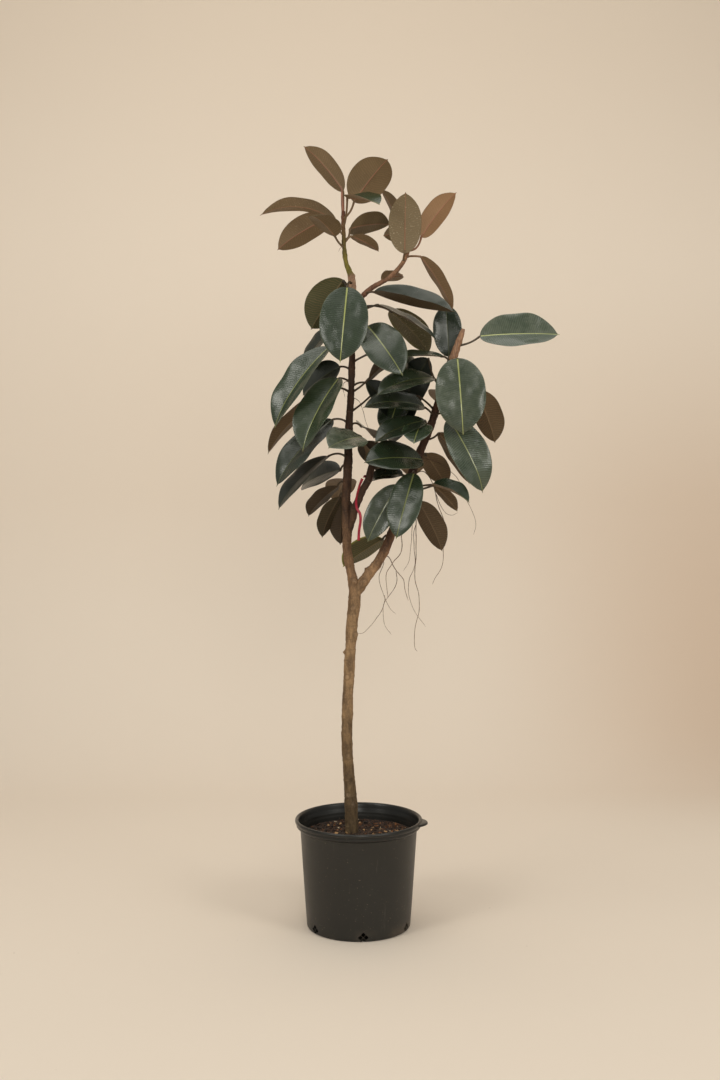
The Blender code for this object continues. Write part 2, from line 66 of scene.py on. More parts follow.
# ---- numbers and curves ------------------------------------------------------
def tone(red: float, green: float, blue: float) -> Colour:
    """Turn a 0-255 display colour into linear light."""
    share = np.array([red, green, blue]) / 255.0
    light = np.where(share <= 0.04045, share / 12.92, ((share + 0.055) / 1.055) ** 2.4)
    return tuple(float(value) for value in light)


def unit(vectors: Array) -> Array:
    """Scale every vector of the last axis to length one."""
    return vectors / np.maximum(np.linalg.norm(vectors, axis=-1, keepdims=True), 1e-12)


def smooth_route(points: Sequence[Sequence[float]], samples: int) -> Array:
    """Run a Catmull-Rom curve through the given rows.

    Each span is the cubic in t whose slope at a point is half the step between
    its two neighbours.

    Args:
        points: Rows of coordinates, with any further columns such as a radius.
        samples: Points made for each span.

    Returns:
        The rows along the curve.
    """
    rows = np.asarray(points, float)
    padded = np.vstack([2 * rows[0] - rows[1], rows, 2 * rows[-1] - rows[-2]])
    t = (np.arange(samples) / samples)[None, :, None]
    a, b, c, d = (padded[start:len(rows) - 1 + start][:, None, :] for start in range(4))
    spans = 0.5 * (2 * b + (c - a) * t + (2 * a - 5 * b + 4 * c - d) * t ** 2
                   + (3 * b - a - 3 * c + d) * t ** 3)
    return np.vstack([spans.reshape(-1, rows.shape[1]), rows[-1:]])


def even_route(points: Sequence[Sequence[float]], step: float) -> tuple[Array, Array]:
    """Resample a smooth route at even distances.

    Args:
        points: Rows of x, y, z and any further columns.
        step: The wanted distance between rows.

    Returns:
        The rows, and how far along the route each one lies.
    """
    dense = smooth_route(points, 24)
    gone = np.concatenate([[0.0], np.cumsum(np.linalg.norm(np.diff(dense[:, :3], axis=0), axis=1))])
    along = np.linspace(0.0, gone[-1], max(int(gone[-1] / step), 3) + 1)
    rows = np.stack([np.interp(along, gone, column) for column in dense.T], axis=1)
    return rows, along


def ripple(places: Array, scale: float, seed: int, waves: int = 28) -> Array:
    """Smooth noise of about unit size.

    It is a sum of cosine waves with random directions, lengths near 1 / scale
    and phases, divided by the root of half their number.

    Args:
        places: Points, with x, y and z on the last axis.
        scale: Waves per centimetre.
        seed: Fixes the random draws.
        waves: How many waves are added.

    Returns:
        One value for each point.
    """
    draw = np.random.default_rng(seed)
    heading = unit(draw.normal(size=(waves, 3))) * draw.uniform(0.5, 1.6, (waves, 1))
    phase = draw.uniform(0.0, 2 * math.pi, waves)
    return np.cos(places @ (heading.T * scale * 2 * math.pi) + phase).sum(-1) / math.sqrt(waves / 2)


def limb_at(limb: Sequence[Sequence[float]], height: float) -> tuple[Array, Array, float]:
    """Find a limb's centre, direction and radius where it passes a height."""
    route = smooth_route(limb, 8)
    first = int(np.argmax((route[:-1, 2] <= height) & (height <= route[1:, 2])))
    low, high = route[first], route[first + 1]
    share = (height - low[2]) / (high[2] - low[2])
    place = low + (high - low) * share
    return place[:3], unit((high - low)[:3]), float(place[3])


def once_round(count: int) -> Array:
    """Angles at even steps round a circle."""
    return np.arange(count) * 2 * math.pi / count


def round_grid(radius: Array, height: Array, angle: Array) -> Array:
    """Points at these distances from the +Z axis, heights and angles, broadcast together."""
    return np.stack(np.broadcast_arrays(radius * np.cos(angle), radius * np.sin(angle), height), -1)


def tube_grid(route: Array, radius: Array, sides: int,
              reference: Sequence[float] = (0.0, 1.0, 0.0)) -> Array:
    """Carry a circle along a route.

    A point is the route's centre plus radius x (side x cos a + up x sin a), with
    a going once round, side = tangent x reference and up = side x tangent.

    Args:
        route: Centres, one row for each section.
        radius: One radius for each section, or one for each point of the grid.
        sides: Points round the circle.
        reference: A direction that the route never runs along.

    Returns:
        Points in an array of sections x sides x 3.
    """
    tangent = unit(np.gradient(route[:, :3], axis=0))
    side = unit(np.cross(tangent, np.asarray(reference, float)))
    up = np.cross(side, tangent)
    angle = once_round(sides)[None, :, None]
    radius = radius if np.ndim(radius) == 2 else np.asarray(radius)[:, None]
    spoke = side[:, None] * np.cos(angle) + up[:, None] * np.sin(angle)
    return route[:, None, :3] + spoke * radius[..., None]


# ---- meshes ------------------------------------------------------------------
CUBE = np.array([[x, y, z] for x in (-0.5, 0.5) for y in (-0.5, 0.5) for z in (-0.5, 0.5)])
CUBE_FACES = np.array([[0, 1, 3, 2], [4, 6, 7, 5], [0, 4, 5, 1], [2, 3, 7, 6], [0, 2, 6, 4],
                       [1, 5, 7, 3]])


@dataclass
class MeshSketch:
    """Collects closed shells, in centimetres, and turns them into one piece."""

    points: list[Array] = field(default_factory=list)
    corners: list[Array] = field(default_factory=list)
    sizes: list[Array] = field(default_factory=list)
    slots: list[Array] = field(default_factory=list)
    marks: dict[str, list[Array]] = field(default_factory=dict)
    count: int = 0

    def shell(self, grid: Array, slots: Array | int = 0, **marks: Array) -> None:
        """Add a grid that wraps round its columns and is closed by a pole at each end.

        The volume's sign, from the sum of corner triple products, says whether
        the faces have to be turned to point outwards.

        Args:
            grid: Points in an array of rows x columns x 3.
            slots: The material slot of every column, or of the whole shell.
            marks: Named values or vectors for each point of the grid.
        """
        rows, columns = grid.shape[:2]
        index = np.arange(rows * columns).reshape(rows, columns)
        following = np.roll(index, -1, axis=1)
        quads = np.stack([index[:-1], following[:-1], following[1:], index[1:]], -1).reshape(-1, 4)
        first, last = rows * columns, rows * columns + 1
        caps = np.concatenate([
            np.stack([np.full(columns, first), following[0], index[0]], -1),
            np.stack([np.full(columns, last), index[-1], following[-1]], -1)])
        points = np.concatenate([grid.reshape(-1, 3), grid[:1].mean(1), grid[-1:].mean(1)])
        fans = (quads[:, [0, 1, 2]], quads[:, [0, 2, 3]], caps)
        if sum(float(np.linalg.det(points[fan]).sum()) for fan in fans) < 0:
            quads, caps = quads[:, ::-1], caps[:, ::-1]
        of_column = np.broadcast_to(slots, (columns,))
        self.points.append(points)
        self.corners += [quads.ravel() + self.count, caps.ravel() + self.count]
        self.sizes += [np.full(len(quads), 4), np.full(len(caps), 3)]
        self.slots += [np.tile(of_column, rows - 1), of_column, of_column]
        for name, values in marks.items():
            values = np.asarray(values, float)
            flat = values.reshape(rows * columns, -1)
            ends = [values[:1].reshape(columns, -1).mean(0, keepdims=True),
                    values[-1:].reshape(columns, -1).mean(0, keepdims=True)]
            self.marks.setdefault(name, []).append(np.concatenate([flat, *ends]))
        self.count += len(points)

    def boxes(self, points: Array, **marks: Array) -> None:
        """Add many small six-sided solids.

        Args:
            points: Corners in an array of copies x 8 x 3, in the order of CUBE.
            marks: Named values for each copy.
        """
        copies, corners = points.shape[:2]
        start = self.count + np.arange(copies)[:, None, None] * corners
        self.points.append(points.reshape(-1, 3))
        self.corners.append((CUBE_FACES[None] + start).ravel())
        self.sizes.append(np.full(copies * len(CUBE_FACES), 4))
        self.slots.append(np.zeros(copies * len(CUBE_FACES), int))
        for name, values in marks.items():
            flat = np.repeat(np.asarray(values, float).reshape(copies, -1), corners, axis=0)
            self.marks.setdefault(name, []).append(flat)
        self.count += copies * corners

    def build(self, name: str, *materials: bpy.types.Material,
              sharp: float | None = None) -> bpy.types.Object:
        """Make the Blender object, with its place in its mesh.

        Args:
            name: The piece's name.
            materials: Its materials, in slot order.
            sharp: Edges bent by more degrees than this stay crisp.

        Returns:
            The object, linked to the scene.
        """
        mesh = bpy.data.meshes.new(name)
        points, corners = np.concatenate(self.points) * CM, np.concatenate(self.corners)
        sizes = np.concatenate(self.sizes)
        mesh.vertices.add(len(points))
        mesh.vertices.foreach_set("co", points.astype(np.float32).ravel())
        mesh.loops.add(len(corners))
        mesh.loops.foreach_set("vertex_index", corners.astype(np.int32))
        mesh.polygons.add(len(sizes))
        starts = np.concatenate([[0], np.cumsum(sizes)[:-1]])
        mesh.polygons.foreach_set("loop_start", starts.astype(np.int32))
        mesh.polygons.foreach_set("material_index", np.concatenate(self.slots).astype(np.int32))
        mesh.update(calc_edges=True)
        mesh.validate()
        for mark, values in self.marks.items():
            data = np.concatenate(values)
            wide = data.shape[1] == 3
            layer = mesh.attributes.new(mark, "FLOAT_VECTOR" if wide else "FLOAT", "POINT")
            layer.data.foreach_set("vector" if wide else "value", data.astype(np.float32).ravel())
        for material in materials:
            mesh.materials.append(material)
        mesh.shade_smooth()
        if sharp is not None:
            mesh.set_sharp_from_angle(angle=math.radians(sharp))
        item = bpy.data.objects.new(name, mesh)
        bpy.context.scene.collection.objects.link(item)
        return item


def one_shell(name: str, grid: Array, material: bpy.types.Material, sharp: float | None = None,
              **marks: Array) -> bpy.types.Object:
    """Build a piece that is one closed shell of one material."""
    sketch = MeshSketch()
    sketch.shell(grid, **marks)
    return sketch.build(name, material, sharp=sharp)


def place_piece(item: bpy.types.Object, slot: str, *nodes: str) -> bpy.types.Object:
    """Ride a finished piece on the plant and hide the solids it stands for."""
    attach(item, "root")
    if nodes:
        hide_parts(*nodes)
    LOG.info("%s: %d faces", item.name, len(item.data.polygons))
    return item


# ---- node materials ----------------------------------------------------------
class Wire:
    """A shader socket that takes part in arithmetic; each step adds one math node."""

    def __init__(self, paint: Paint, socket: bpy.types.NodeSocket) -> None:
        """Wrap one socket of a painter's tree."""
        self.paint, self.socket = paint, socket

    def __add__(self, other: object) -> Wire:
        """This plus another wire or a number."""
        return self.paint.math("ADD", self, other)

    def __sub__(self, other: object) -> Wire:
        """This less another wire or a number."""
        return self.paint.math("SUBTRACT", self, other)

    def __rsub__(self, other: float) -> Wire:
        """A number less this."""
        return self.paint.math("SUBTRACT", other, self)

    def __mul__(self, other: object) -> Wire:
        """This times another wire or a number."""
        return self.paint.math("MULTIPLY", self, other)

    def __truediv__(self, other: object) -> Wire:
        """This over another wire or a number."""
        return self.paint.math("DIVIDE", self, other)

    def __abs__(self) -> Wire:
        """This without its sign."""
        return self.paint.math("ABSOLUTE", self)

    def clamped(self) -> Wire:
        """Hold the last step between 0 and 1."""
        self.socket.node.use_clamp = True
        return self

    def span(self, low: float, high: float, to_low: float = 0.0, to_high: float = 1.0) -> Wire:
        """Ease this from one range into another."""
        return self.paint.wire("ShaderNodeMapRange", {0: self, 1: low, 2: high, 3: to_low, 4: to_high},
                               interpolation_type="SMOOTHSTEP")


class Paint:
    """Adds shader nodes to one tree and joins them up."""

    def __init__(self, tree: bpy.types.NodeTree) -> None:
        """Work on the given tree."""
        self.tree = tree

    def feed(self, socket: bpy.types.NodeSocket, value: object) -> None:
        """Link a wire to this socket, or set its number or colour."""
        if isinstance(value, Wire):
            self.tree.links.new(value.socket, socket)
        elif socket.type == "RGBA" and len(value) == 3:
            socket.default_value = (*value, 1.0)
        else:
            socket.default_value = value

    def node(self, kind: str, inputs: dict | None = None, **settings: object) -> bpy.types.Node:
        """Add a node with these settings and inputs."""
        item = self.tree.nodes.new(kind)
        for name, value in settings.items():
            setattr(item, name, value)
        for name, value in (inputs or {}).items():
            self.feed(item.inputs[name], value)
        return item

    def wire(self, kind: str, inputs: dict | None = None, output: int | str = 0,
             **settings: object) -> Wire:
        """Add a node and give one of its outputs."""
        return Wire(self, self.node(kind, inputs, **settings).outputs[output])

    def math(self, operation: str, first: object, second: object = 0.0) -> Wire:
        """One arithmetic step."""
        return self.wire("ShaderNodeMath", {0: first, 1: second}, operation=operation)

    def blend(self, share: object, first: object, second: object, mode: str = "MIX") -> Wire:
        """Mix two colours."""
        return self.wire("ShaderNodeMix", {0: share, 6: first, 7: second}, 2,
                         data_type="RGBA", blend_type=mode)

    def layers(self, base: object, *coats: tuple[object, object]) -> Wire:
        """Lay coats over a colour in turn, each given as its share and its colour."""
        for share, colour in coats:
            base = self.blend(share, base, colour)
        return base

    def tinted(self, base: object, red: float, green: float, blue: float) -> Wire:
        """A colour with each channel scaled."""
        return self.blend(1.0, base, (red, green, blue), "MULTIPLY")

    def noise(self, scale: object, detail: float = 3.0, rough: float = 0.5,
              where: Wire | None = None, stretch: Sequence[float] | None = None) -> Wire:
        """Fractal noise from 0 to 1, at the object's own coordinates unless others are given."""
        where = where or self.place()
        if stretch:
            where = self.wire("ShaderNodeMapping", {"Vector": where, "Scale": stretch})
        return self.wire("ShaderNodeTexNoise", {"Vector": where, "Scale": scale, "Detail": detail,
                                                "Roughness": rough})

    def cells(self, scale: float, stretch: Sequence[float] = (1.0, 1.0, 1.0)) -> Wire:
        """How far each place is from the nearest of many scattered points."""
        where = self.wire("ShaderNodeMapping", {"Vector": self.place(), "Scale": stretch})
        return self.wire("ShaderNodeTexVoronoi", {"Vector": where, "Scale": scale}, feature="F1")

    def place(self) -> Wire:
        """The object coordinates."""
        return self.wire("ShaderNodeTexCoord", output="Object")

    def split(self, vector: Wire) -> list[Wire]:
        """A vector's x, y and z."""
        return [Wire(self, part) for part in self.node("ShaderNodeSeparateXYZ", {0: vector}).outputs]

    def marks(self, names: str, output: str = "Fac") -> list[Wire]:
        """Named values, colours or vectors stored on the mesh."""
        return [self.wire("ShaderNodeAttribute", output=output, attribute_name=name)
                for name in names.split()]

    def bump(self, height: Wire, strength: float, distance: float) -> Wire:
        """Turn a height, in metres times distance, into a surface normal."""
        return self.wire("ShaderNodeBump", {"Height": height, "Strength": strength,
                                            "Distance": distance})

    def effect(self, tree: bpy.types.NodeTree, **inputs: object) -> list[Wire]:
        """Place a shared effect with its own values, and give its outputs."""
        item = self.node("ShaderNodeGroup", inputs, node_tree=tree)
        return [Wire(self, output) for output in item.outputs]


class Effects:
    """The effects that more than one finish uses, each built once as a node group."""

    def __init__(self) -> None:
        """Build the groups."""
        self._mottle = self._group("mottle", {"Place": (0, 0, 0), "Scale": 20.0, "Contrast": 1.5},
                                   self._draw_mottle)
        self._veins = self._group("lateral_veins", {"Blade": (0, 0, 0), "Spacing": 0.4, "Wander": 0.5},
                                  self._draw_veins)
        self._midrib = self._group("midrib_line", {"Blade": (0, 0, 0), "Width": 0.14, "Soft": 0.08},
                                   self._draw_midrib)
        self._dust = self._group("dust_specks", {"Place": (0, 0, 0), "Scale": 300.0, "Level": 0.66},
                                 self._draw_dust)

    @staticmethod
    def _group(name: str, inputs: dict[str, object],
               draw: Callable[..., dict[str, Wire]]) -> bpy.types.NodeTree:
        """Make one group.

        Args:
            name: The group's name.
            inputs: Each input's usual value, a number or a vector.
            draw: Given a painter and the wires of the inputs, adds the nodes and
                gives the wire of each output.

        Returns:
            The group.
        """
        tree = bpy.data.node_groups.new(name, "ShaderNodeTree")
        for socket, usual in inputs.items():
            kind = "Vector" if isinstance(usual, tuple) else "Float"
            made = tree.interface.new_socket(socket, in_out="INPUT", socket_type=f"NodeSocket{kind}")
            made.default_value = usual
        paint = Paint(tree)
        given = paint.node("NodeGroupInput")
        drawn = draw(paint, *(Wire(paint, given.outputs[socket]) for socket in inputs))
        for socket in drawn:
            tree.interface.new_socket(socket, in_out="OUTPUT", socket_type="NodeSocketFloat")
        paint.node("NodeGroupOutput", drawn)
        return tree

    @staticmethod
    def _draw_mottle(paint: Paint, place: Wire, scale: Wire, contrast: Wire) -> dict[str, Wire]:
        """Broad and fine noise added together: 0.65 of the broad and 0.35 of the fine."""
        broad = paint.noise(scale, 3.0, where=place)
        fine = paint.noise(scale * 7.0, 2.0, where=place)
        return {"Value": ((broad * 0.65 + fine * 0.35 - 0.5) * contrast + 0.5).clamped()}

    @staticmethod
    def _draw_veins(paint: Paint, blade: Wire, spacing: Wire, wander: Wire) -> dict[str, Wire]:
        """Lateral veins: a wave of (along - slant x distance from the midrib) over the spacing."""
        across, along, _ = paint.split(blade)
        away = abs(across)
        shift = paint.noise(0.55, 2.0, where=blade) * wander
        wave = paint.math("SINE", (along - away * VEIN_SLANT + shift) / spacing * (2 * math.pi))
        swell = wave * 0.5 + 0.5
        start = away.span(0.05, 0.35)
        return {"Line": swell.span(0.72, 1.0) * start, "Swell": swell * start}

    @staticmethod
    def _draw_midrib(paint: Paint, blade: Wire, width: Wire, soft: Wire) -> dict[str, Wire]:
        """The midrib's mask: 1 within a width that narrows to the tip, 0 beyond."""
        across, _, share = paint.split(blade)
        edge = width * (1.0 - share * 0.72)
        return {"Line": (1.0 - (abs(across) - edge) / soft).clamped()}

    @staticmethod
    def _draw_dust(paint: Paint, place: Wire, scale: Wire, level: Wire) -> dict[str, Wire]:
        """Sparse specks: the peaks of fine noise, thinned by a broad one."""
        broad = paint.noise(14.0, where=place)
        over = paint.noise(scale, 1.0, where=place) + broad * 0.12 - level
        return {"Speck": (over * 14.0).clamped(), "Haze": broad.span(0.42, 0.72)}

    def mottle(self, paint: Paint, scale: float, contrast: float, place: Wire | None = None) -> Wire:
        """Place the mottle."""
        return paint.effect(self._mottle, Place=place or paint.place(), Scale=scale, Contrast=contrast)[0]

    def veins(self, paint: Paint, blade: Wire, spacing: float, wander: float = 0.5) -> list[Wire]:
        """Place the veins: their lines, and the swelling between them."""
        return paint.effect(self._veins, Blade=blade, Spacing=spacing, Wander=wander)

    def midrib(self, paint: Paint, blade: Wire, width: float, soft: float = 0.08) -> Wire:
        """Place the midrib."""
        return paint.effect(self._midrib, Blade=blade, Width=width, Soft=soft)[0]

    def dust(self, paint: Paint, scale: float, level: float) -> list[Wire]:
        """Place the dust: its specks, and the broad haze that thins them."""
        return paint.effect(self._dust, Place=paint.place(), Scale=scale, Level=level)


def surface(base: Wire, rough: Wire, normal: Wire | None, specular: float = 0.5,
            **more: object) -> dict[str, object]:
    """Name the shader inputs that every finish feeds, and any more."""
    fed = {"Base Color": base, "Roughness": rough, "Specular IOR Level": specular, "Normal": normal,
           **{name.replace("_", " "): value for name, value in more.items()}}
    return {name: value for name, value in fed.items() if value is not None}


@dataclass(frozen=True)
class Finish:
    """One procedural material.  Each kind says what its shader is fed."""

    name: str

    def inputs(self, paint: Paint, effects: Effects) -> dict[str, object]:
        """Add the finish's nodes and give what each shader input is fed."""
        raise NotImplementedError

    def material(self, effects: Effects) -> bpy.types.Material:
        """Build the material, with a Principled shader on its output."""
        made = bpy.data.materials.new(self.name)
        made.use_nodes = True
        made.node_tree.nodes.clear()
        paint = Paint(made.node_tree)
        shader = paint.node("ShaderNodeBsdfPrincipled")
        paint.node("ShaderNodeOutputMaterial", {"Surface": Wire(paint, shader.outputs[0])})
        for socket, value in self.inputs(paint, effects).items():
            paint.feed(shader.inputs[socket], value)
        return made


@dataclass(frozen=True)
class LeafTop(Finish):
    """The glossy upper side of a blade: dark green, with a pale midrib and rim, painted sheen and painted
    shade.
    """

    name: str = "leaf_top"
    dark: Colour = tone(21, 33, 20)
    light: Colour = tone(43, 56, 33)
    # bloom is painted sheen: the pale grey-green of a reflection, laid into the colour
    bloom: Colour = tone(150, 152, 134)
    olive: Colour = tone(58, 62, 34)
    vein: Colour = tone(82, 102, 84)
    midrib: Colour = tone(166, 172, 104)
    rim: Colour = tone(128, 138, 104)
    dust: Colour = tone(150, 150, 130)
    scorched: Colour = tone(92, 66, 46)
    # gloom is painted shade: the near-black that darkens leaves deep in the crown
    painted_shade_tint: Colour = tone(10, 12, 9)

    def inputs(self, paint: Paint, effects: Effects) -> dict[str, object]:
        """Lay the tints over each other, with a pale film of painted sheen and a near-black painted shade,
        and bump by billows, veins and mottle.
        """
        shade, olive, stripe, bloom, margin, rib, scorch, dim = paint.marks(
            "shade olive stripe bloom margin rib scorch dim")
        blade, = paint.marks("blade", "Vector")
        mottle = effects.mottle(paint, 16.0, 1.5)
        line, swell = effects.veins(paint, blade, 0.46)
        fine = effects.veins(paint, blade, 0.15, 0.2)[1]
        midrib = effects.midrib(paint, blade, 0.13)
        speck, haze = effects.dust(paint, 260.0, 0.80)
        base = paint.blend(mottle, self.dark, self.light)
        base = paint.layers(
            base, (shade * 0.8, paint.blend(0.5, base, self.light)), (olive, self.olive),
            (line * stripe * 0.6, self.vein), (fine * 0.10, self.vein), (speck * 0.25, self.dust),
            # painted sheen: the mottled pale film set by bloom
            (mottle.span(0.15, 0.75) * bloom, self.bloom), (margin.span(0.10, 0.02) * 0.55, self.rim),
            # painted shade: the near-black last coat, as strong as dim
            (midrib * rib, self.midrib), (scorch, self.scorched), (dim, self.painted_shade_tint))
        dull = dim.span(0.45, 0.95, 0.0, 0.35)
        height = swell + fine * 0.4 + mottle * 0.6 + paint.noise(24.0, 1.0) * 40.0
        return surface(base, haze * 0.12 + 0.22 + dull, paint.bump(height, 0.30, 0.0006), 0.55,
                       Coat_Weight=(0.35 - dull).clamped(), Coat_Roughness=0.18)


@dataclass(frozen=True)
class LeafUnderside(Finish):
    """The dull lower side of a blade: burgundy brown to olive, with a reddish midrib, a painted lit edge and
    painted shade.
    """

    name: str = "leaf_underside"
    young: Colour = tone(122, 99, 70)
    brown: Colour = tone(90, 72, 48)
    olive: Colour = tone(70, 72, 40)
    rust: Colour = tone(186, 140, 100)
    midrib: Colour = tone(156, 104, 82)
    dark_rib: Colour = tone(128, 108, 74)
    dust: Colour = tone(150, 134, 106)
    speck: Colour = tone(176, 160, 132)
    rim: Colour = tone(92, 78, 50)
    # glow is painted light: the yellow-green of a lit edge along one margin
    glow: Colour = tone(150, 152, 62)
    # gloom is painted shade: the near-black that darkens undersides deep in the crown
    painted_shade_tint: Colour = tone(14, 11, 8)

    def inputs(self, paint: Paint, effects: Effects) -> dict[str, object]:
        """Lay the tints over each other, with a painted lit edge and a near-black painted shade, and bump by
        veins and mottle.
        """
        youth, olive, rust, speckle, margin, glow, dim = paint.marks(
            "youth olive rust speckle margin glow dim")
        blade, = paint.marks("blade", "Vector")
        mottle = effects.mottle(paint, 26.0, 1.6)
        line = effects.veins(paint, blade, 0.5, 0.9)[0]
        midrib = effects.midrib(paint, blade, 0.12, 0.1)
        speck = effects.dust(paint, 420.0, 0.72)[0]
        base = paint.layers(self.brown, (youth, self.young), (olive, self.olive), (rust, self.rust))
        base = paint.layers(
            base, (mottle * 0.5, paint.tinted(base, 0.52, 0.5, 0.46)), (line * 0.14, self.rust),
            (speckle * 0.3, self.dust), (speck * speckle, self.speck),
            (midrib * 0.65, paint.blend(youth, self.dark_rib, self.midrib)),
            # painted light: glow lays a lit edge on the margin, and the near-black last coat is painted shade
            (margin.span(0.09, 0.02) * 0.45, self.rim), (glow, self.glow), (dim, self.painted_shade_tint))
        return surface(base, mottle.span(0.0, 1.0, 0.52, 0.66),
                       paint.bump(line + mottle * 0.5, 0.24, 0.0007), 0.35)


@dataclass(frozen=True)
class LeafStalk(Finish):
    """A petiole: red where young, brown-olive where old."""

    name: str = "leaf_stalk"
    old: Colour = tone(58, 48, 34)
    young: Colour = tone(124, 98, 66)
    red: Colour = tone(160, 92, 68)

    def inputs(self, paint: Paint, effects: Effects) -> dict[str, object]:
        """Tint by age, darkened in patches."""
        youth, rust = paint.marks("youth rust")
        mottle = effects.mottle(paint, 90.0, 1.6)
        base = paint.layers(self.old, (youth, self.young), (rust, self.red))
        base = paint.blend(mottle * 0.6, base, paint.tinted(base, 0.55, 0.5, 0.45))
        return surface(base, mottle.span(0.0, 1.0, 0.40, 0.55), paint.bump(mottle, 0.3, 0.0006))


@dataclass(frozen=True)
class Bark(Finish):
    """Grey-brown bark whose tint is painted along each limb, with pale worn scars."""

    name: str = "bark"
    worn: Colour = tone(186, 160, 132)

    def inputs(self, paint: Paint, effects: Effects) -> dict[str, object]:
        """Patches, fibres and dots round the limb's own tint, then its cracks and scars."""
        tint, = paint.marks("tint", "Color")
        crack, scar = paint.marks("crack scar")
        drawn = paint.wire("ShaderNodeMapping", {"Vector": paint.place(), "Scale": (1.0, 1.0, 0.45)})
        mottle = effects.mottle(paint, 70.0, 3.0, drawn)
        dots = paint.cells(210.0, (1.0, 1.0, 1.8)).span(0.28, 0.10)
        fibre = paint.noise(420.0, 3.0, 0.6, stretch=(1.0, 1.0, 0.10))
        dark, light = paint.tinted(tint, 0.42, 0.38, 0.35), paint.tinted(tint, 1.5, 1.46, 1.4)
        base = paint.layers(
            dark, (mottle, light), (fibre.span(0.5, 0.72) * 0.45, dark), (dots * 0.45, light),
            (crack * 0.75, dark), (scar * mottle.span(0.2, 0.7, 0.25, 0.75), self.worn))
        height = mottle * 0.8 + fibre * 0.6 + dots * 0.5
        return surface(base, mottle.span(0.0, 1.0, 0.68, 0.9), paint.bump(height, 0.65, 0.0012), 0.35)


@dataclass(frozen=True)
class PotPlastic(Finish):
    """Thin black moulded plastic, dull, with faint scuffs and dust, and a glossier lip darkened by painted
    shade.
    """

    name: str = "pot_plastic"
    black: Colour = tone(21, 21, 18)
    worn: Colour = tone(36, 35, 31)
    scuffed: Colour = tone(104, 98, 88)
    dust: Colour = tone(128, 112, 92)
    soiled: Colour = tone(120, 104, 86)
    # lip is painted shade: the near-black laid on the rim and the wall just below it, inside and out
    lip: Colour = tone(9, 11, 10)
    lip_shade_and_gloss_heights: tuple[float, float] = (0.2195, 0.2235)

    def inputs(self, paint: Paint, effects: Effects) -> dict[str, object]:
        """Scuffs and dust over the black, soiled at the foot, with painted shade darkening the lip."""
        mottle = effects.mottle(paint, 9.0, 1.4)
        speck, haze = effects.dust(paint, 240.0, 0.77)
        scuff = paint.noise(60.0, 4.0, 0.7, stretch=(1.0, 1.0, 0.12))
        level = paint.split(paint.place())[2]
        # the band where painted shade darkens the rim and the top of the wall, which is also glossier there
        lip = level.span(*self.lip_shade_and_gloss_heights)
        base = paint.layers(
            self.black, (mottle, self.worn), (scuff.span(0.62, 0.80) * 0.22, self.scuffed),
            (speck * 0.35, self.dust), (level.span(0.035, 0.0) * 0.30 * haze, self.soiled),
            (lip * 0.5, self.lip))
        return surface(base, mottle.span(0.0, 1.0, 0.36, 0.5) - lip * 0.12,
                       paint.bump(mottle + scuff * 0.3, 0.14, 0.0015))


@dataclass(frozen=True)
class SoilMix(Finish):
    """Damp potting mix, almost black between its crumbs."""

    name: str = "soil"
    damp: Colour = tone(34, 24, 18)
    dry: Colour = tone(84, 58, 40)

    def inputs(self, paint: Paint, effects: Effects) -> dict[str, object]:
        """Dry patches over the damp colour, and darker between the crumbs."""
        mottle, crumb = effects.mottle(paint, 60.0, 2.4), paint.cells(260.0)
        base = paint.layers(self.damp, (mottle, self.dry), (crumb.span(0.35, 0.75), self.damp))
        return surface(base, mottle.span(0.0, 1.0, 0.8, 0.97), paint.bump(mottle - crumb, 0.9, 0.003))


@dataclass(frozen=True)
class BarkChips(Finish):
    """Loose chips and crumbs, each with its own tint."""

    name: str = "soil_chips"

    def inputs(self, paint: Paint, effects: Effects) -> dict[str, object]:
        """Darker patches and grain over the chip's tint."""
        tint, = paint.marks("tint", "Color")
        grain = paint.noise(700.0, 2.0, stretch=(1.0, 0.3, 1.0))
        base = paint.layers(paint.tinted(tint, 0.6, 0.55, 0.5), (effects.mottle(paint, 180.0, 1.8), tint),
                            (grain.span(0.5, 0.7) * 0.4, paint.tinted(tint, 0.5, 0.45, 0.4)))
        return surface(base, grain.span(0.0, 1.0, 0.7, 0.9), paint.bump(grain, 0.5, 0.0008))


@dataclass(frozen=True)
class BudSheath(Finish):
    """A young leaf's papery sheath, salmon red with lengthwise ribs."""

    warm: Colour
    dark: Colour
    dry: Colour = tone(190, 156, 124)

    def inputs(self, paint: Paint, effects: Effects) -> dict[str, object]:
        """Ribs from dark to warm, with dry patches."""
        ribs = paint.noise(380.0, 3.0, 0.6, stretch=(1.0, 1.0, 0.12))
        mottle = effects.mottle(paint, 60.0, 1.8)
        base = paint.layers(self.dark, (ribs.span(0.36, 0.66), self.warm), (mottle * 0.35, self.dry))
        return surface(base, mottle.span(0.0, 1.0, 0.45, 0.62), paint.bump(ribs, 0.5, 0.001))


@dataclass(frozen=True)
class RootSkin(Finish):
    """The thin brown skin of an aerial root, paler at its growing tip."""

    name: str = "root_skin"
    old: Colour = tone(84, 62, 46)
    tip: Colour = tone(130, 102, 78)

    def inputs(self, paint: Paint, effects: Effects) -> dict[str, object]:
        """Tint by age, darkened in patches."""
        mottle = effects.mottle(paint, 120.0, 2.0)
        base = paint.blend(paint.marks("youth")[0], self.old, self.tip)
        base = paint.blend(mottle * 0.6, base, paint.tinted(base, 0.5, 0.45, 0.42))
        return surface(base, mottle.span(0.0, 1.0, 0.7, 0.85), paint.bump(mottle, 0.5, 0.0006))


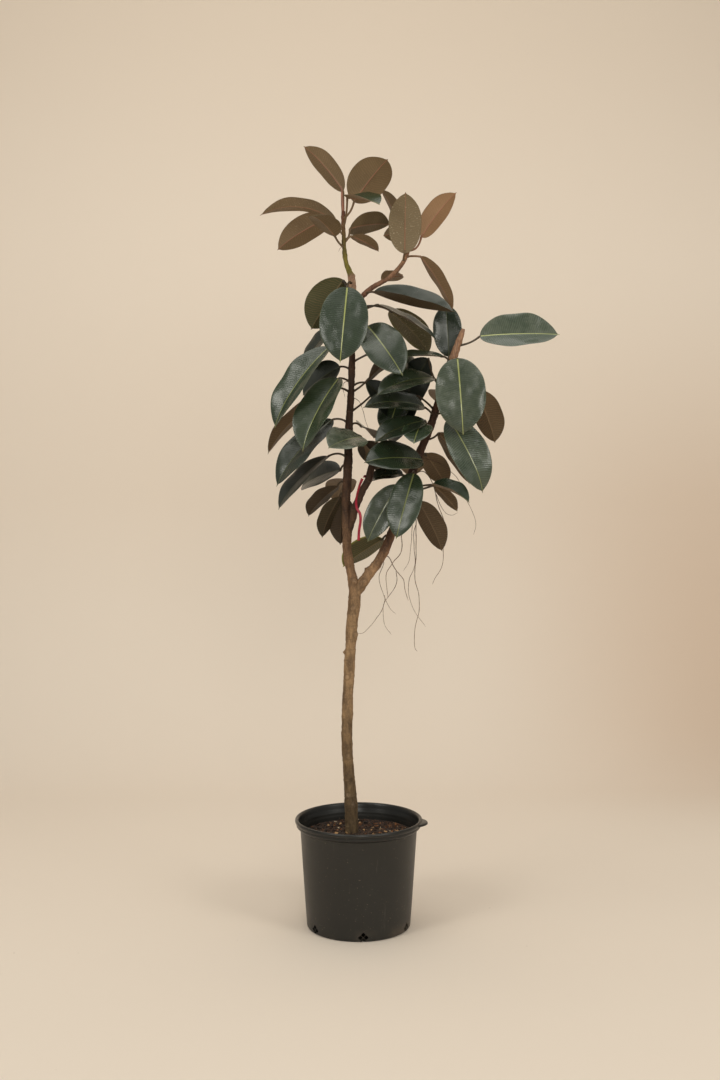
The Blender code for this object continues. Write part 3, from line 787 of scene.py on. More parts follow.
@dataclass(frozen=True)
class RibbonFilm(Finish):
    """Crimson marking tape with faint lengthwise creases."""

    name: str = "ribbon_film"
    colour: Colour = tone(186, 38, 62)
    fold: Colour = tone(130, 20, 42)

    def inputs(self, paint: Paint, effects: Effects) -> dict[str, object]:
        """Creases from the fold's colour to the tape's."""
        crease = paint.noise(520.0, 3.0, stretch=(1.0, 1.0, 0.10))
        mottle = effects.mottle(paint, 70.0, 1.5)
        return surface(paint.blend(crease.span(0.35, 0.7), self.fold, self.colour),
                       mottle.span(0.0, 1.0, 0.34, 0.5), paint.bump(crease, 0.4, 0.0008))


@dataclass(frozen=True)
class PaperSweep(Finish):
    """The cream studio paper, with crumbs of soil on the floor, seen only from its front."""

    name: str = "paper_sweep"
    paper: Colour = tone(234, 222, 208)
    # warm and shade are tints of painted shade: warm low on the right, shade high up; warm also tints a faint
    # cloud
    warm: Colour = tone(214, 191, 169)
    shade: Colour = tone(206, 190, 172)
    soil: Colour = tone(120, 96, 72)

    def inputs(self, paint: Paint, effects: Effects) -> dict[str, object]:
        """Painted shade, warmer and darker low on the right and darker high up, with crumbs in front of the
        bend.
        """
        x, y, z = paint.split(paint.place())
        cloud = paint.noise(0.9, 2.0)
        # painted shade: a warmer, darker patch low on the right where the light falls off
        warm = z.span(1.7, 0.25) * x.span(0.25, 1.3) * y.span(0.7, 1.7)
        crumb = paint.noise(55.0, 1.0, stretch=(1.0, 1.0, 0.0)).span(0.795, 0.83) * y.span(0.6, 0.0)
        base = paint.layers(self.paper, (warm * 0.8, self.warm), (cloud * 0.10, self.warm),
                            # painted shade: the paper darker high up, where the light falls off
                            (z.span(1.5, 2.7) * 0.6, self.shade), (crumb * 0.5, self.soil))
        hidden = paint.wire("ShaderNodeNewGeometry", output="Backfacing")
        return surface(base, cloud.span(0.0, 1.0, 0.8, 0.9), None, 0.2, Alpha=1.0 - hidden)


# ---- the pot and what fills it -----------------------------------------------
def rounded_profile(points: Sequence[tuple[float, float]], reach: float) -> Array:
    """Round a profile's corners.

    Each corner gives three points: one on either side, at the reach or at a
    third of the edge, and between them the middle of a quadratic curve.

    Args:
        points: The profile's corners, as radius and height.
        reach: How far from a corner the rounding starts.

    Returns:
        The rounded profile.
    """
    rows = np.asarray(points, float)
    before, corner, after = rows[:-2], rows[1:-1], rows[2:]
    back, ahead = before - corner, after - corner
    back_size = np.linalg.norm(back, axis=1, keepdims=True)
    ahead_size = np.linalg.norm(ahead, axis=1, keepdims=True)
    enter = corner + back / back_size * np.minimum(reach, back_size / 3)
    leave = corner + ahead / ahead_size * np.minimum(reach, ahead_size / 3)
    middle = 0.25 * enter + 0.5 * corner + 0.25 * leave
    return np.vstack([rows[:1], np.stack([enter, middle, leave], 1).reshape(-1, 2), rows[-1:]])


def apply_modifiers(item: bpy.types.Object) -> None:
    """Replace an object's mesh by what its modifiers make of it."""
    graph = bpy.context.evaluated_depsgraph_get()
    finished = bpy.data.meshes.new_from_object(item.evaluated_get(graph))
    item.modifiers.clear()
    item.data = finished


@dataclass
class NurseryPot:
    """A black nursery pot: tapered wall, rolled double lip, pull tab and drain slots."""

    height: float = 24.1
    rim_radius: float = 14.0
    wall_top_radius: float = 12.85
    wall_foot_radius: float = 11.45
    wall: float = 0.2
    foot_rounding: float = 0.6
    segments: int = 180
    crisp: float = 38.0
    tab_reach: float = 1.3
    tab_half_angle: float = math.radians(13)
    tab_bearing: float = math.radians(-10)
    tab_levels: tuple[float, float] = (23.3, 23.8)
    drain_clusters: int = 6
    drain_first_bearing: float = math.radians(-85)
    drain_slot: float = 0.55
    drain_spread: float = 0.62
    drain_height: float = 1.05

    def wall_radius(self, height: float | Array) -> float | Array:
        """Outer radius of the tapered wall at a height."""
        widening = self.wall_top_radius - self.wall_foot_radius
        return self.wall_foot_radius + widening * height / (self.height - 2.0)

    def profile(self) -> Array:
        """Inner floor, wall with its ledge, rolled lip, outer wall and rounded foot."""
        rim, centre = self.rim_radius, self.wall_foot_radius - self.foot_rounding
        inner = [(0.3, self.wall + 0.05), (centre - 0.1, self.wall + 0.05),
                 *((self.wall_radius(level) - self.wall + ledge, level) for level, ledge in
                   ((1.0, 0.0), (11.0, 0.0), (21.2, 0.0), (21.6, 0.06), (22.0, 0.06)))]
        lip = [(rim - 1.0, 22.9), (rim - 0.8, 23.8), (rim - 0.45, self.height),
               (rim - 0.12, 24.0), (rim, 23.7), (rim - 0.05, 23.3), (rim - 0.35, 23.1),
               (rim - 0.28, 22.8), (rim - 0.3, 22.5), (rim - 0.7, 22.2)]
        outer = [(self.wall_radius(level), level) for level in (22.0, 14.0, 7.0)]
        foot = [(centre + self.foot_rounding * math.cos(a), self.foot_rounding * (1 - math.sin(a)))
                for a in np.linspace(0.0, math.pi / 2, 6)]
        return rounded_profile([*inner, *lip, *outer, *foot, (0.3, 0.0)], 0.12)

    def wall_grid(self) -> Array:
        """Turn the profile once round, with a faint ripple where the plastic is thin."""
        rows, angle = self.profile(), once_round(self.segments)
        sway = 1 + 0.0011 * np.sin(3 * angle + 0.6) + 0.0006 * np.sin(7 * angle)
        return round_grid(rows[:, :1] * sway[None], rows[:, 1:], angle)

    def tab_grid(self) -> Array:
        """The half-moon pull tab: a flat rounded bar whose reach follows a cosine."""
        share = np.linspace(-1.0, 1.0, 41)
        reach = (self.rim_radius + 0.02 - 0.3 * np.abs(share)
                 + self.tab_reach * np.clip(np.cos(share * math.pi / 2), 0, None) ** 0.8)
        low, high = self.tab_levels
        soft = 0.12
        inner = np.full_like(share, self.rim_radius - 0.5)
        ring = [(inner, low), (reach - soft, low), (reach - soft * 0.3, low + soft * 0.3),
                (reach, low + soft), (reach, high - soft), (reach - soft * 0.3, high - soft * 0.3),
                (reach - soft, high), (inner, high)]
        radius = np.stack([part[0] for part in ring], 1)
        level = np.array([part[1] for part in ring])
        return round_grid(radius, level[None], (self.tab_bearing + share * self.tab_half_angle)[:, None])

    def slot_cutter(self) -> bpy.types.Object:
        """Slanted bars, four to a place, that cut the drain slots round the foot."""
        across = (CUBE[:, 0] + CUBE[:, 1]) * self.drain_slot
        rise = (CUBE[:, 1] - CUBE[:, 0]) * self.drain_slot
        bearing = self.drain_first_bearing + once_round(self.drain_clusters)
        side = np.array([-1, 1, 0, 0]) * self.drain_spread
        lift = np.array([0, 0, 1, -1]) * self.drain_spread
        deep = self.wall_foot_radius - 0.3 + 1.6 * CUBE[:, 2]
        u = side[None, :, None] + across[None, None]
        cos, sin = np.cos(bearing)[:, None, None], np.sin(bearing)[:, None, None]
        level = self.drain_height + lift[None, :, None] + rise
        points = np.stack(np.broadcast_arrays(deep * cos - u * sin, deep * sin + u * cos, level), -1)
        sketch = MeshSketch()
        sketch.boxes(points.reshape(-1, 8, 3))
        return sketch.build("slot_cutter")

    def build(self, material: bpy.types.Material) -> bpy.types.Object:
        """Make the pot, cut its slots and put it in place."""
        body = one_shell("pot_body", self.wall_grid(), material, sharp=self.crisp)
        cutter = self.slot_cutter()
        cut = body.modifiers.new("slots", "BOOLEAN")
        cut.object, cut.operation, cut.solver = cutter, "DIFFERENCE", "EXACT"
        apply_modifiers(body)
        body.data.set_sharp_from_angle(angle=math.radians(self.crisp))
        bpy.data.objects.remove(cutter, do_unlink=True)
        place_piece(one_shell("pot_tab", self.tab_grid(), material, sharp=50), "pot_plastic")
        return place_piece(body, "pot_plastic", "nursery_pot")


@dataclass
class PottingSoil:
    """The soil surface with its bark chips, crumbs and pale flecks."""

    level: float = 20.5
    mound: float = 0.5
    edge: float = 12.45
    columns: int = 200
    scatter: tuple[tuple[str, int, float, int], ...] = (("bark_chips", 950, 1.35, 21),
                                                        ("soil_crumbs", 1500, 0.55, 22))
    tints: tuple[Colour, ...] = (tone(46, 32, 22), tone(66, 44, 29), tone(98, 62, 36),
                                 tone(138, 90, 52), tone(186, 146, 100), tone(220, 204, 174))
    odds: tuple[float, ...] = (0.42, 0.30, 0.16, 0.07, 0.035, 0.015)

    def surface(self, x: Array, y: Array) -> Array:
        """Height of the soil: a low mound at the trunk, plus broad and fine ripples."""
        away = np.hypot(x, y)
        places = np.stack([x, y, 0 * x], -1)
        heap = self.mound * np.clip(1 - away / 9.5, 0, 1) ** 1.3
        rough = sum(size * ripple(places, scale, seed)
                    for size, scale, seed in ((0.10, 0.22, 5), (0.06, 0.7, 6), (0.035, 1.8, 7)))
        return self.level + heap + rough * np.clip((self.edge - away) * 1.5, 0.15, 1)

    def build_bed(self, material: bpy.types.Material) -> bpy.types.Object:
        """A round bed whose rings run from the middle to the wall and down it."""
        radius = np.concatenate([np.linspace(0.3, self.edge, 90), [self.edge - 0.02, self.edge - 0.9, 0.3]])
        grid = round_grid(radius[:, None], 0.0, once_round(self.columns))
        grid[..., 2] = self.surface(grid[..., 0], grid[..., 1])
        grid[-3:, :, 2] = np.array([[18.0], [16.0], [16.0]])
        return place_piece(one_shell("soil_bed", grid, material), "soil", "potting_soil")

    def build_chips(self, name: str, count: int, longest: float, seed: int,
                    material: bpy.types.Material) -> bpy.types.Object:
        """Scatter small wedge-shaped solids: boxes with every corner nudged, turned and laid down.

        Args:
            name: The piece's name.
            count: How many are scattered.
            longest: The longest one, end to end.
            seed: Fixes the random draws.
            material: Their finish.

        Returns:
            The piece.
        """
        draw = np.random.default_rng(seed)
        length = longest * draw.beta(1.6, 4.0, count) + longest * 0.12
        size = np.stack([length, length * draw.uniform(0.28, 0.7, count),
                         length * draw.uniform(0.12, 0.35, count)], 1)
        corners = (CUBE[None] + draw.uniform(-0.17, 0.17, (count, 8, 3))) * size[:, None]
        yaw, tilt = draw.uniform(0, 2 * math.pi, count)[:, None], draw.normal(0, 0.45, count)[:, None]
        x, y, z = corners[..., 0], corners[..., 1], corners[..., 2]
        x, z = x * np.cos(tilt) + z * np.sin(tilt), z * np.cos(tilt) - x * np.sin(tilt)
        turned = np.stack([x * np.cos(yaw) - y * np.sin(yaw), x * np.sin(yaw) + y * np.cos(yaw), z], -1)
        away = (self.edge - 0.75) * np.sqrt(draw.uniform(0.02, 1, count))
        bearing = draw.uniform(0, 2 * math.pi, count)
        places = round_grid(away, 0.0, bearing)
        places[:, 2] = self.surface(places[:, 0], places[:, 1]) + size[:, 2] * 0.2
        palette = np.array(self.tints)[draw.choice(len(self.tints), count, p=np.array(self.odds))]
        palette = palette * draw.uniform(0.7, 1.25, (count, 1))
        sketch = MeshSketch()
        sketch.boxes(turned + places[:, None], tint=palette)
        item = sketch.build(name, material)
        item.data.shade_flat()
        return place_piece(item, "soil")


# ---- the woody stem ----------------------------------------------------------
LEADER = (
    (-1.6, 0, 15, 1.45), (-1.6, 0, 21, 1.40), (-1.7, 0, 27, 1.38),
    (-2.3, 0, 35.5, 1.22), (-2.6, 0, 41.5, 1.20), (-2.4, 0, 49.5, 1.24),
    (-2.1, 0, 54.5, 1.16), (-1.8, 0, 61, 1.16), (-1.4, 0, 67.5, 1.26),
    (-0.9, 0, 72, 1.34), (-1, 0, 75, 1.15), (-1.9, 0, 79.7, 0.95),
    (-2.5, 0, 83.5, 0.95), (-2.5, 0, 87.5, 0.98), (-2.7, 0, 92.5, 0.90),
    (-2.4, 0, 100, 0.95), (-2.2, 0, 104, 0.88), (-2.1, 0, 110, 0.82),
    (-1.7, 0, 115.5, 0.76), (-1.4, 0, 124.5, 0.68), (-1.3, 0, 132, 0.62),
    (-1.3, 0, 138, 0.80), (-1.5, 0, 141.5, 0.72), (-2.2, 0, 143.5, 0.50),
    (-2.9, 0, 146, 0.50), (-3.2, 0, 151, 0.46), (-3.3, 0, 155.7, 0.36),
)
RIGHT_BRANCH = (
    (-0.8, 0, 73.5, 1.10), (0.3, 0, 75.3, 1.25), (2, 0, 77.6, 1.15),
    (4, 0.1, 80.3, 1.02), (5.6, 0.3, 83, 0.98), (6.8, 0.5, 85.8, 0.95),
    (8.1, 0.6, 89.3, 0.92), (10, 0.8, 95, 0.90), (11.6, 0.9, 100, 0.88),
    (13.5, 1, 105, 0.86), (14.8, 1, 108, 0.84), (16.1, 0.8, 111.5, 0.82),
    (17.2, 0.5, 115.5, 0.78), (18.7, 0.3, 120, 0.76), (20.1, 0.1, 124, 0.74),
)
MIDDLE_BRANCH = (
    (-2.2, -0.1, 87.5, 0.75), (-1.4, -0.8, 89.6, 0.80), (-0.7, -1.6, 92.5, 0.82),
    (0.7, -2.2, 95.8, 0.80), (2, -2.3, 98.4, 0.76), (2.9, -2, 101.3, 0.72),
    (4.2, -1.2, 104.2, 0.62), (5.4, -0.4, 107, 0.50),
)
UPPER_SHOOT = (
    (-1.3, 0, 135.3, 0.55), (-0.4, 0, 136.5, 0.58), (0.8, 0, 137.7, 0.58),
    (2.8, 0, 139.5, 0.54), (5.6, 0, 141, 0.50), (7.1, 0, 142.1, 0.50),
    (8.4, 0, 143.4, 0.46), (9.7, 0, 145.3, 0.44), (11.1, 0, 148.3, 0.34),
)
LEFT_BUD = (
    (-3.32, 0, 155.75, 0.30), (-3.4, 0, 157, 0.34), (-3.5, 0, 158.6, 0.26),
    (-3.6, 0, 160, 0.16), (-3.7, 0, 161, 0.06),
)
RIGHT_BUD = (
    (20.13, 0.1, 124.06, 0.72), (20.6, 0.1, 125.4, 0.78), (21.3, 0.1, 127.4, 0.74),
    (22, 0, 129.4, 0.62), (22.5, 0, 130.8, 0.38),
)


class Side(Enum):
    """Which way a knot faces, as the angle round a limb's section."""

    LEFT = 0.0
    BACK = 90.0
    RIGHT = 180.0
    FRONT = 270.0


@dataclass(frozen=True)
class Knot:
    """A nub, knot or leaf scar on a limb: a bump of lift x exp(-(distance / size) squared)."""

    height: float
    side: Side
    turn: float = 0.0
    size: float = 0.45
    lift: float = 0.3
    pale: float = 0.0


@dataclass(frozen=True)
class Limb:
    """One limb of the stem: its route, its bark's display colour by height, and its knots."""

    route: tuple
    tints: tuple[tuple[float, float, float, float], ...]
    knots: tuple[Knot, ...] = ()
    sides: int = 40
    step: float = 0.16
    roughness: float = 1.0
    ring_gap: tuple[float, float] = (2.2, 4.4)

    def add(self, sketch: MeshSketch, seed: int) -> None:
        """Carry a rough circle along the route and mark its scars and cracks.

        The radius is the limb's own, swelled by low noise, raised at node rings
        and knots and cut by lengthwise cracks.

        Args:
            sketch: The mesh that the limb joins.
            seed: Fixes the noise and the rings.
        """
        rows, along = even_route(self.route, self.step)
        base = np.maximum(rows[:, 3:4], 0.05) * np.ones((1, self.sides))
        smooth = tube_grid(rows, base, self.sides)
        swell = 0.035 * ripple(smooth, 0.16, seed)
        cracks = ripple(smooth * np.array([1.0, 1.0, 0.28]), 0.95, seed + 1)
        pits = ripple(smooth, 1.1, seed + 2)
        draw = np.random.default_rng(seed)
        stops = np.cumsum(draw.uniform(*self.ring_gap, 80))
        angle = once_round(self.sides)
        tilt = np.sin(angle[None] + draw.uniform(0, 2 * math.pi)) * 0.18
        off = along[:, None, None] + tilt[..., None] - stops[None, None]
        nearest = np.take_along_axis(off, np.abs(off).argmin(-1)[..., None], -1)[..., 0]
        ring = np.exp(-(nearest / 0.16) ** 2)
        radius = base * (1 + swell) + self.roughness * (0.055 * ring + 0.035 * cracks + 0.02 * pits)
        scar = 0.16 * ring * np.clip(pits, 0, 1)
        crack = np.clip(-cracks * 0.55 - 0.25, 0, 1) + 0.5 * np.exp(-((nearest - 0.24) / 0.09) ** 2)
        for knot in self.knots:
            turn = math.radians(knot.side.value + knot.turn)
            apart = (angle[None] - turn + math.pi) % (2 * math.pi) - math.pi
            away = np.hypot(apart * base, rows[:, 2:3] - knot.height) / knot.size
            radius = radius + knot.lift * np.exp(-away ** 2) * (1 + 0.25 * pits)
            scar = np.maximum(scar, knot.pale * np.exp(-(away * 1.15) ** 2) * np.clip(0.75 + pits, 0.2, 1))
            crack = np.maximum(crack, 0.8 * np.exp(-((away - 1.25) / 0.3) ** 2))
        heights, *channels = zip(*((height, *tone(*colour)) for height, *colour in self.tints))
        tint = np.stack([np.interp(rows[:, 2], heights, channel) for channel in channels], -1)
        tint = np.broadcast_to(tint[:, None], (len(rows), self.sides, 3))
        sketch.shell(tube_grid(rows, radius, self.sides), tint=tint,
                     scar=np.clip(scar, 0, 1), crack=np.clip(crack, 0, 1))


@dataclass
class WoodyStem:
    """Trunk and leader with the right branch, the middle branch and the upper shoot."""

    limbs: tuple[Limb, ...] = (
        Limb(LEADER,
             ((15, 86, 72, 52), (24, 100, 83, 60), (31, 104, 86, 62), (43, 124, 102, 75),
              (52, 146, 121, 91), (70, 146, 120, 90), (80, 126, 98, 72), (92, 84, 62, 46),
              (105, 64, 46, 34), (135.5, 70, 50, 36), (137.5, 146, 116, 94), (141.9, 150, 120, 98),
              (142.8, 116, 110, 46), (149, 102, 90, 46), (153, 112, 80, 56), (156, 132, 84, 64)),
             (Knot(60.8, Side.LEFT, 12, 0.42, 0.42), Knot(64.8, Side.FRONT, -50, 0.6, 0.3, 0.3),
              Knot(64.0, Side.RIGHT, 30, 0.5, 0.22), Knot(70.7, Side.FRONT, 8, 0.5, 0.14, 0.95),
              Knot(76.4, Side.FRONT, -20, 0.6, 0.25, 0.5), Knot(55.5, Side.FRONT, 25, 0.5, 0.1, 0.4),
              Knot(47.2, Side.RIGHT, -20, 0.5, 0.16), Knot(38.0, Side.FRONT, -15, 0.6, 0.12, 0.35),
              Knot(29.5, Side.FRONT, 20, 0.5, 0.08, 0.8), Knot(27.4, Side.FRONT, -22, 0.35, 0.08, 0.7),
              Knot(138.6, Side.FRONT, -30, 0.4, 0.14, 0.8), Knot(140.8, Side.RIGHT, 30, 0.4, 0.16, 0.6),
              Knot(142.0, Side.RIGHT, -20, 0.34, 0.26, 0.9), Knot(44.0, Side.BACK, 15, 0.6, 0.2, 0.4),
              Knot(67.0, Side.BACK, -30, 0.6, 0.25, 0.5))),
        Limb(RIGHT_BRANCH,
             ((73, 148, 122, 92), (79, 140, 112, 84), (84, 106, 78, 58), (93, 66, 46, 34),
              (112, 72, 50, 38), (120, 112, 72, 54), (124, 150, 92, 68)),
             (Knot(76.2, Side.FRONT, -6, 0.65, 0.18, 0.4), Knot(78.4, Side.LEFT, 10, 0.34, 0.55),
              Knot(83.5, Side.FRONT, 10, 0.5, 0.1, 0.2), Knot(88.0, Side.RIGHT, 10, 0.45, 0.2)), sides=32),
        Limb(MIDDLE_BRANCH, ((87, 84, 62, 46), (94, 66, 46, 34), (107, 60, 42, 32)), sides=28),
        Limb(UPPER_SHOOT, ((135, 92, 62, 48), (138.5, 118, 84, 66), (143, 140, 106, 82), (148, 150, 112, 84)),
             sides=24, step=0.12, roughness=0.7, ring_gap=(1.3, 2.4)),
    )

    def build(self, material: bpy.types.Material) -> bpy.types.Object:
        """Make every limb, in one piece."""
        sketch = MeshSketch()
        for number, limb in enumerate(self.limbs):
            limb.add(sketch, 40 + 10 * number)
        return place_piece(sketch.build("stem_bark", material), "bark", "woody_stem")


@dataclass
class BudRoll:
    """A rolled sheath at the end of the leader or of the right branch."""

    name: str
    route: tuple
    node: str
    folds: int
    sides: int = 36

    def build(self, material: bpy.types.Material) -> bpy.types.Object:
        """A tapering tube whose radius swells with cos(folds x angle + a slow twist)."""
        rows, along = even_route(self.route, 0.07)
        angle = once_round(self.sides)
        twist = along[:, None] * 0.35
        ribs = 1 + 0.07 * np.cos(self.folds * angle + twist) + 0.03 * np.cos(13 * angle - twist)
        lift = 0.05 * ripple(tube_grid(rows, rows[:, 3], self.sides), 0.6, 77)
        radius = np.maximum(rows[:, 3:4] * (ribs + lift), 0.02)
        grid = tube_grid(rows, radius, self.sides)
        return place_piece(one_shell(self.name, grid, material), "bud_sheath", self.node)


# ---- the foliage -------------------------------------------------------------
# Each row: height of the foot on its limb, neck where the blade begins, tip,
# blade width, the way the upper side faces, the blade's bow over its length and,
# for a leaf folded more or less than usual, how far each half rises, in degrees.
LEADER_LEAVES = (
    (154.4, (-3.3, 2.2, 160.3), (-11.6, 3, 170), 5.8, (0.6, 0.7, 0.4), 0.05),
    (154.3, (-1, -1.5, 157.4), (6.1, -6, 165.7), 8.8, (-0.2, 0.9, 0.4), 0.06),
    (152.6, (-2.4, -3.6, 158), (4.4, -9.6, 155.9), 7, (0, -0.25, 1), 0.03, 22),
    (152, (-4.8, 0.5, 153.8), (-21, 0, 155.2), 6.5, (0, 0.35, 1), 0.15),
    (150.9, (-5.8, 5.2, 155.2), (-17.8, 6.6, 148.4), 6.6, (0.3, 0.7, 0.7), 0.10),
    (148.3, (-5, -1.6, 150.2), (-9.6, -8, 153.8), 6.5, (0.3, 0.5, 0.8), 0.06),
    (149.4, (-1.9, 1.4, 152.2), (6.8, 8.5, 154.2), 6.5, (0, 0.75, 0.65), 0.05),
    (140.5, (-2.4, -3.2, 139.4), (-3.9, -6.5, 123.4), 10.5, (0, -1, 0.15), 0.05),
    (139.5, (-3.2, 1, 141.3), (-10.4, 3, 130.9), 9, (-0.3, 0.9, 0.3), 0.05),
    (131.5, (1.9, -2.6, 131.2), (9.2, -9.5, 120.7), 8.7, (-0.2, -0.8, 0.6), 0.09),
    (134, (4.2, -0.8, 135.9), (17, -2.5, 128.4), 6.5, (0.35, -0.2, 0.9), 0.03),
    (134.8, (6.8, 3.2, 135), (15.6, 6.5, 126), 7.6, (0.3, 0.6, 0.6), 0.05),
    (124, (1.8, 1.6, 125.4), (15.5, 7.5, 121), 7.5, (0, -0.6, 0.8), 0.08),
    (129.8, (-5, 2.2, 131.4), (-12.2, 4.5, 123), 6.5, (-0.5, -0.5, 0.7), 0.05),
    (127.3, (-6.3, -1.5, 126.8), (-18.2, -4.5, 109.8), 8.6, (-0.6, -0.72, 0.5), 0.07, 22),
    (119.6, (-4.2, -2, 120.2), (-12, -8, 105), 9.4, (-0.45, -0.78, 0.5), 0.07, 22),
    (117.5, (-8.5, 3, 116.5), (-20.2, 4.5, 104.2), 7, (-0.45, 0.35, 0.8), 0.05),
    (111, (-5.6, -0.6, 111.4), (-17.8, -4, 97.4), 8, (-0.4, -0.7, 0.6), 0.07),
    (107.8, (0.6, -3.2, 107.7), (-6.2, -12.5, 105.7), 8, (0.35, -0.35, 0.87), 0.04),
    (103.6, (-6.6, -1.6, 103.5), (-17.5, -3, 92.4), 7.5, (-0.5, -0.4, 0.8), 0.06),
    (101.4, (-4, 2.6, 100.4), (-13, 8, 96.4), 8.4, (-0.1, -0.6, 0.78), 0.06),
    (97.8, (-4.6, 1.6, 97), (-11.2, 5, 90.4), 6.5, (-0.5, 0.5, 0.6), 0.05),
    (95.4, (-4.2, 2.4, 94.6), (-8.2, 5.5, 85.6), 5.2, (-0.5, 0.7, 0.2), 0.05),
    (136.8, (-1.6, 4.6, 137.8), (-4.5, 19, 132.5), 8.5, (0, 0.3, 1), 0.08),
    (113.4, (3.4, 5, 117.4), (10.5, 19, 114.4), 8, (0, 0.3, 1), 0.08),
    (98.8, (-3, 5, 98.4), (-5, 18.5, 92.6), 7, (0, 0.3, 1), 0.06),
)
UPPER_SHOOT_LEAVES = (
    (145.3, (9.8, -1.6, 146.6), (9.9, -3.5, 159.2), 7.2, (0, 1, 0.1), 0.04),
    (146.8, (10.5, 1.9, 149.4), (5, 5, 161.2), 6, (0.9, 0.4, 0.3), 0.03),
    (147.6, (13.4, 0.5, 150.4), (20.8, 2, 160), 6, (-0.4, 0.8, 0.4), 0.05),
    (146.3, (13.3, -1, 146), (20.3, -2.5, 134.4), 5.4, (0.75, 0.45, 0.5), 0.04),
    (138.6, (3.2, -2.8, 138.4), (20.2, -6.5, 134), 9.5, (0, -0.37, 0.93), -0.05, 42),
    (142.6, (9.4, 2.4, 142.4), (4.9, 5.4, 141.6), 4.4, (0, 0.5, 0.87), 0.04),
)
RIGHT_BRANCH_LEAVES = (
    (123.2, (21, -3.4, 124.4), (22.1, -7, 108.2), 10.9, (0, -1, 0.15), 0.06),
    (121.5, (25.4, 3, 117.8), (30, 4.5, 106.4), 7.5, (0.5, 0.8, 0.2), 0.05),
    (112.8, (19.3, -2.6, 111.5), (26.9, -5.5, 96.2), 9, (0.25, -0.85, 0.4), 0.06),
    (107.5, (17.4, 2, 108.6), (24.4, 3.5, 97.6), 6.5, (0.6, 0.6, 0.4), 0.05),
    (96.9, (15.8, -1.6, 97.4), (23.6, -5.5, 94), 5.6, (0.2, -0.45, 0.85), 0.06, 38),
    (93.3, (13, 1.4, 93.7), (18.4, 2.5, 82.8), 6.2, (0.4, 0.8, 0.3), 0.05),
    (123.8, (18.2, -1.2, 124.9), (6.2, -2.6, 124), 6.5, (0, -0.25, 1), 0.05),
    (121.9, (19.6, 2.4, 125), (18.9, 3.2, 136.6), 6.4, (-0.1, -0.95, 0.2), 0.04),
    (118.6, (16, -2.4, 120.2), (3.8, -8, 116.8), 7.5, (-0.1, -0.55, 0.8), 0.08),
    (112.6, (14.2, -1.2, 114), (1, -4, 114.2), 7.5, (0, -0.6, 0.8), 0.10),
    (109.3, (14.2, -3.2, 111.2), (3.3, -8, 106.8), 7, (-0.2, -0.6, 0.75), 0.06),
    (101.6, (13.6, -3.4, 102.8), (1.2, -9.5, 102.6), 9.2, (0, -0.7, 0.7), 0.06),
    (99.8, (11.8, -4.2, 100), (7.9, -9.2, 86.4), 7.2, (-0.1, -0.95, 0.3), 0.05),
    (96.4, (8.4, -2.4, 97.4), (1.8, -4.6, 85.4), 6.8, (-0.3, -0.9, 0.3), 0.04),
    (116, (18, 4.4, 117.8), (22, 19, 113), 8.5, (0, 0.3, 1), 0.08),
    (102.8, (12.6, 5, 104), (12, 18.5, 98.5), 8, (0, 0.3, 1), 0.08),
    (86, (5.3, 2.5, 85.5), (-3.6, 5.6, 79.2), 8.2, (-0.3, 0.6, 0.7), 0.02),
)
BUD_LEAVES = (
    (127.6, (26, 0, 129.2), (43, -1, 129.5), 10, (0, -0.8, 0.6), 0.03, 22),
)
# Small leaves that have no solid of their own: limb first, then the same columns.
SMALL_LEAVES = (
    (LEADER, (149.8, (-1.5, 1.2, 150.6), (4.4, 4.6, 147.9), 4.2, (0.1, 0.4, 0.9), 0.05)),
    (UPPER_SHOOT, (146.4, (10, 3.2, 151.6), (5.4, 5.2, 151.2), 3.6, (0, 0.9, 0.3), 0.05)),
    (LEADER, (122.3, (-4, 1.4, 122.8), (-12.4, 4.6, 116.8), 8, (-0.2, -0.75, 0.6), 0.05)),
    (LEADER, (110.5, (0.5, 1.5, 110), (3.5, 9.5, 107.5), 6.5, (0.3, -0.3, 0.9), 0.05)),
    (LEADER, (117.6, (2.2, 2, 120.3), (9.5, 9, 126), 7, (-0.3, 0.6, 0.7), 0.05)),
    (RIGHT_BRANCH, (109.5, (13.3, -4, 110.3), (11.5, -11, 106.5), 6.5, (0, -0.2, 1), 0.05)),
    (RIGHT_BRANCH, (104, (14.5, 2.5, 104), (19.2, 5, 97), 6, (0.3, 0.8, 0.3), 0.05)),
    (LEADER, (95, (-3.4, 3.5, 94.6), (-4.1, 6.5, 83.9), 6, (0, 0.9, 0.3), 0.05)),
    (RIGHT_BRANCH, (96, (16.4, 1.5, 97.2), (21.6, 2, 91.6), 3.6, (0.5, 0.7, 0.4), 0.05)),
    (MIDDLE_BRANCH, (106, (6.5, 1.5, 108.5), (10, 10, 118), 7.5, (-0.2, -0.5, 0.8), 0.06)),
    (RIGHT_BRANCH, (98.6, (9.6, 2.6, 99.4), (1.4, 5.4, 98.2), 6.5, (-0.1, -0.4, 0.9), 0.05)),
    (LEADER, (108.6, (-0.6, 2.6, 107.6), (1.6, 8, 102.4), 5, (0.4, -0.2, 0.9), 0.05)),
    (RIGHT_BRANCH, (118.2, (15.2, 3.4, 124.6), (9, 9, 113.4), 8, (-0.2, -0.9, 0.3), 0.05)),
    (RIGHT_BRANCH, (113.6, (12.8, 3.2, 116.6), (6.4, 9.5, 106.4), 7.5, (-0.2, -0.8, 0.5), 0.05)),
    (LEADER, (118.8, (1.6, 3, 119.4), (10.4, 10, 109.8), 7, (0.2, -0.8, 0.5), 0.05)),
    (LEADER, (105.8, (0.6, 3.2, 106.4), (7.6, 9, 99), 6.6, (0.2, 0.8, 0.4), 0.05)),
)


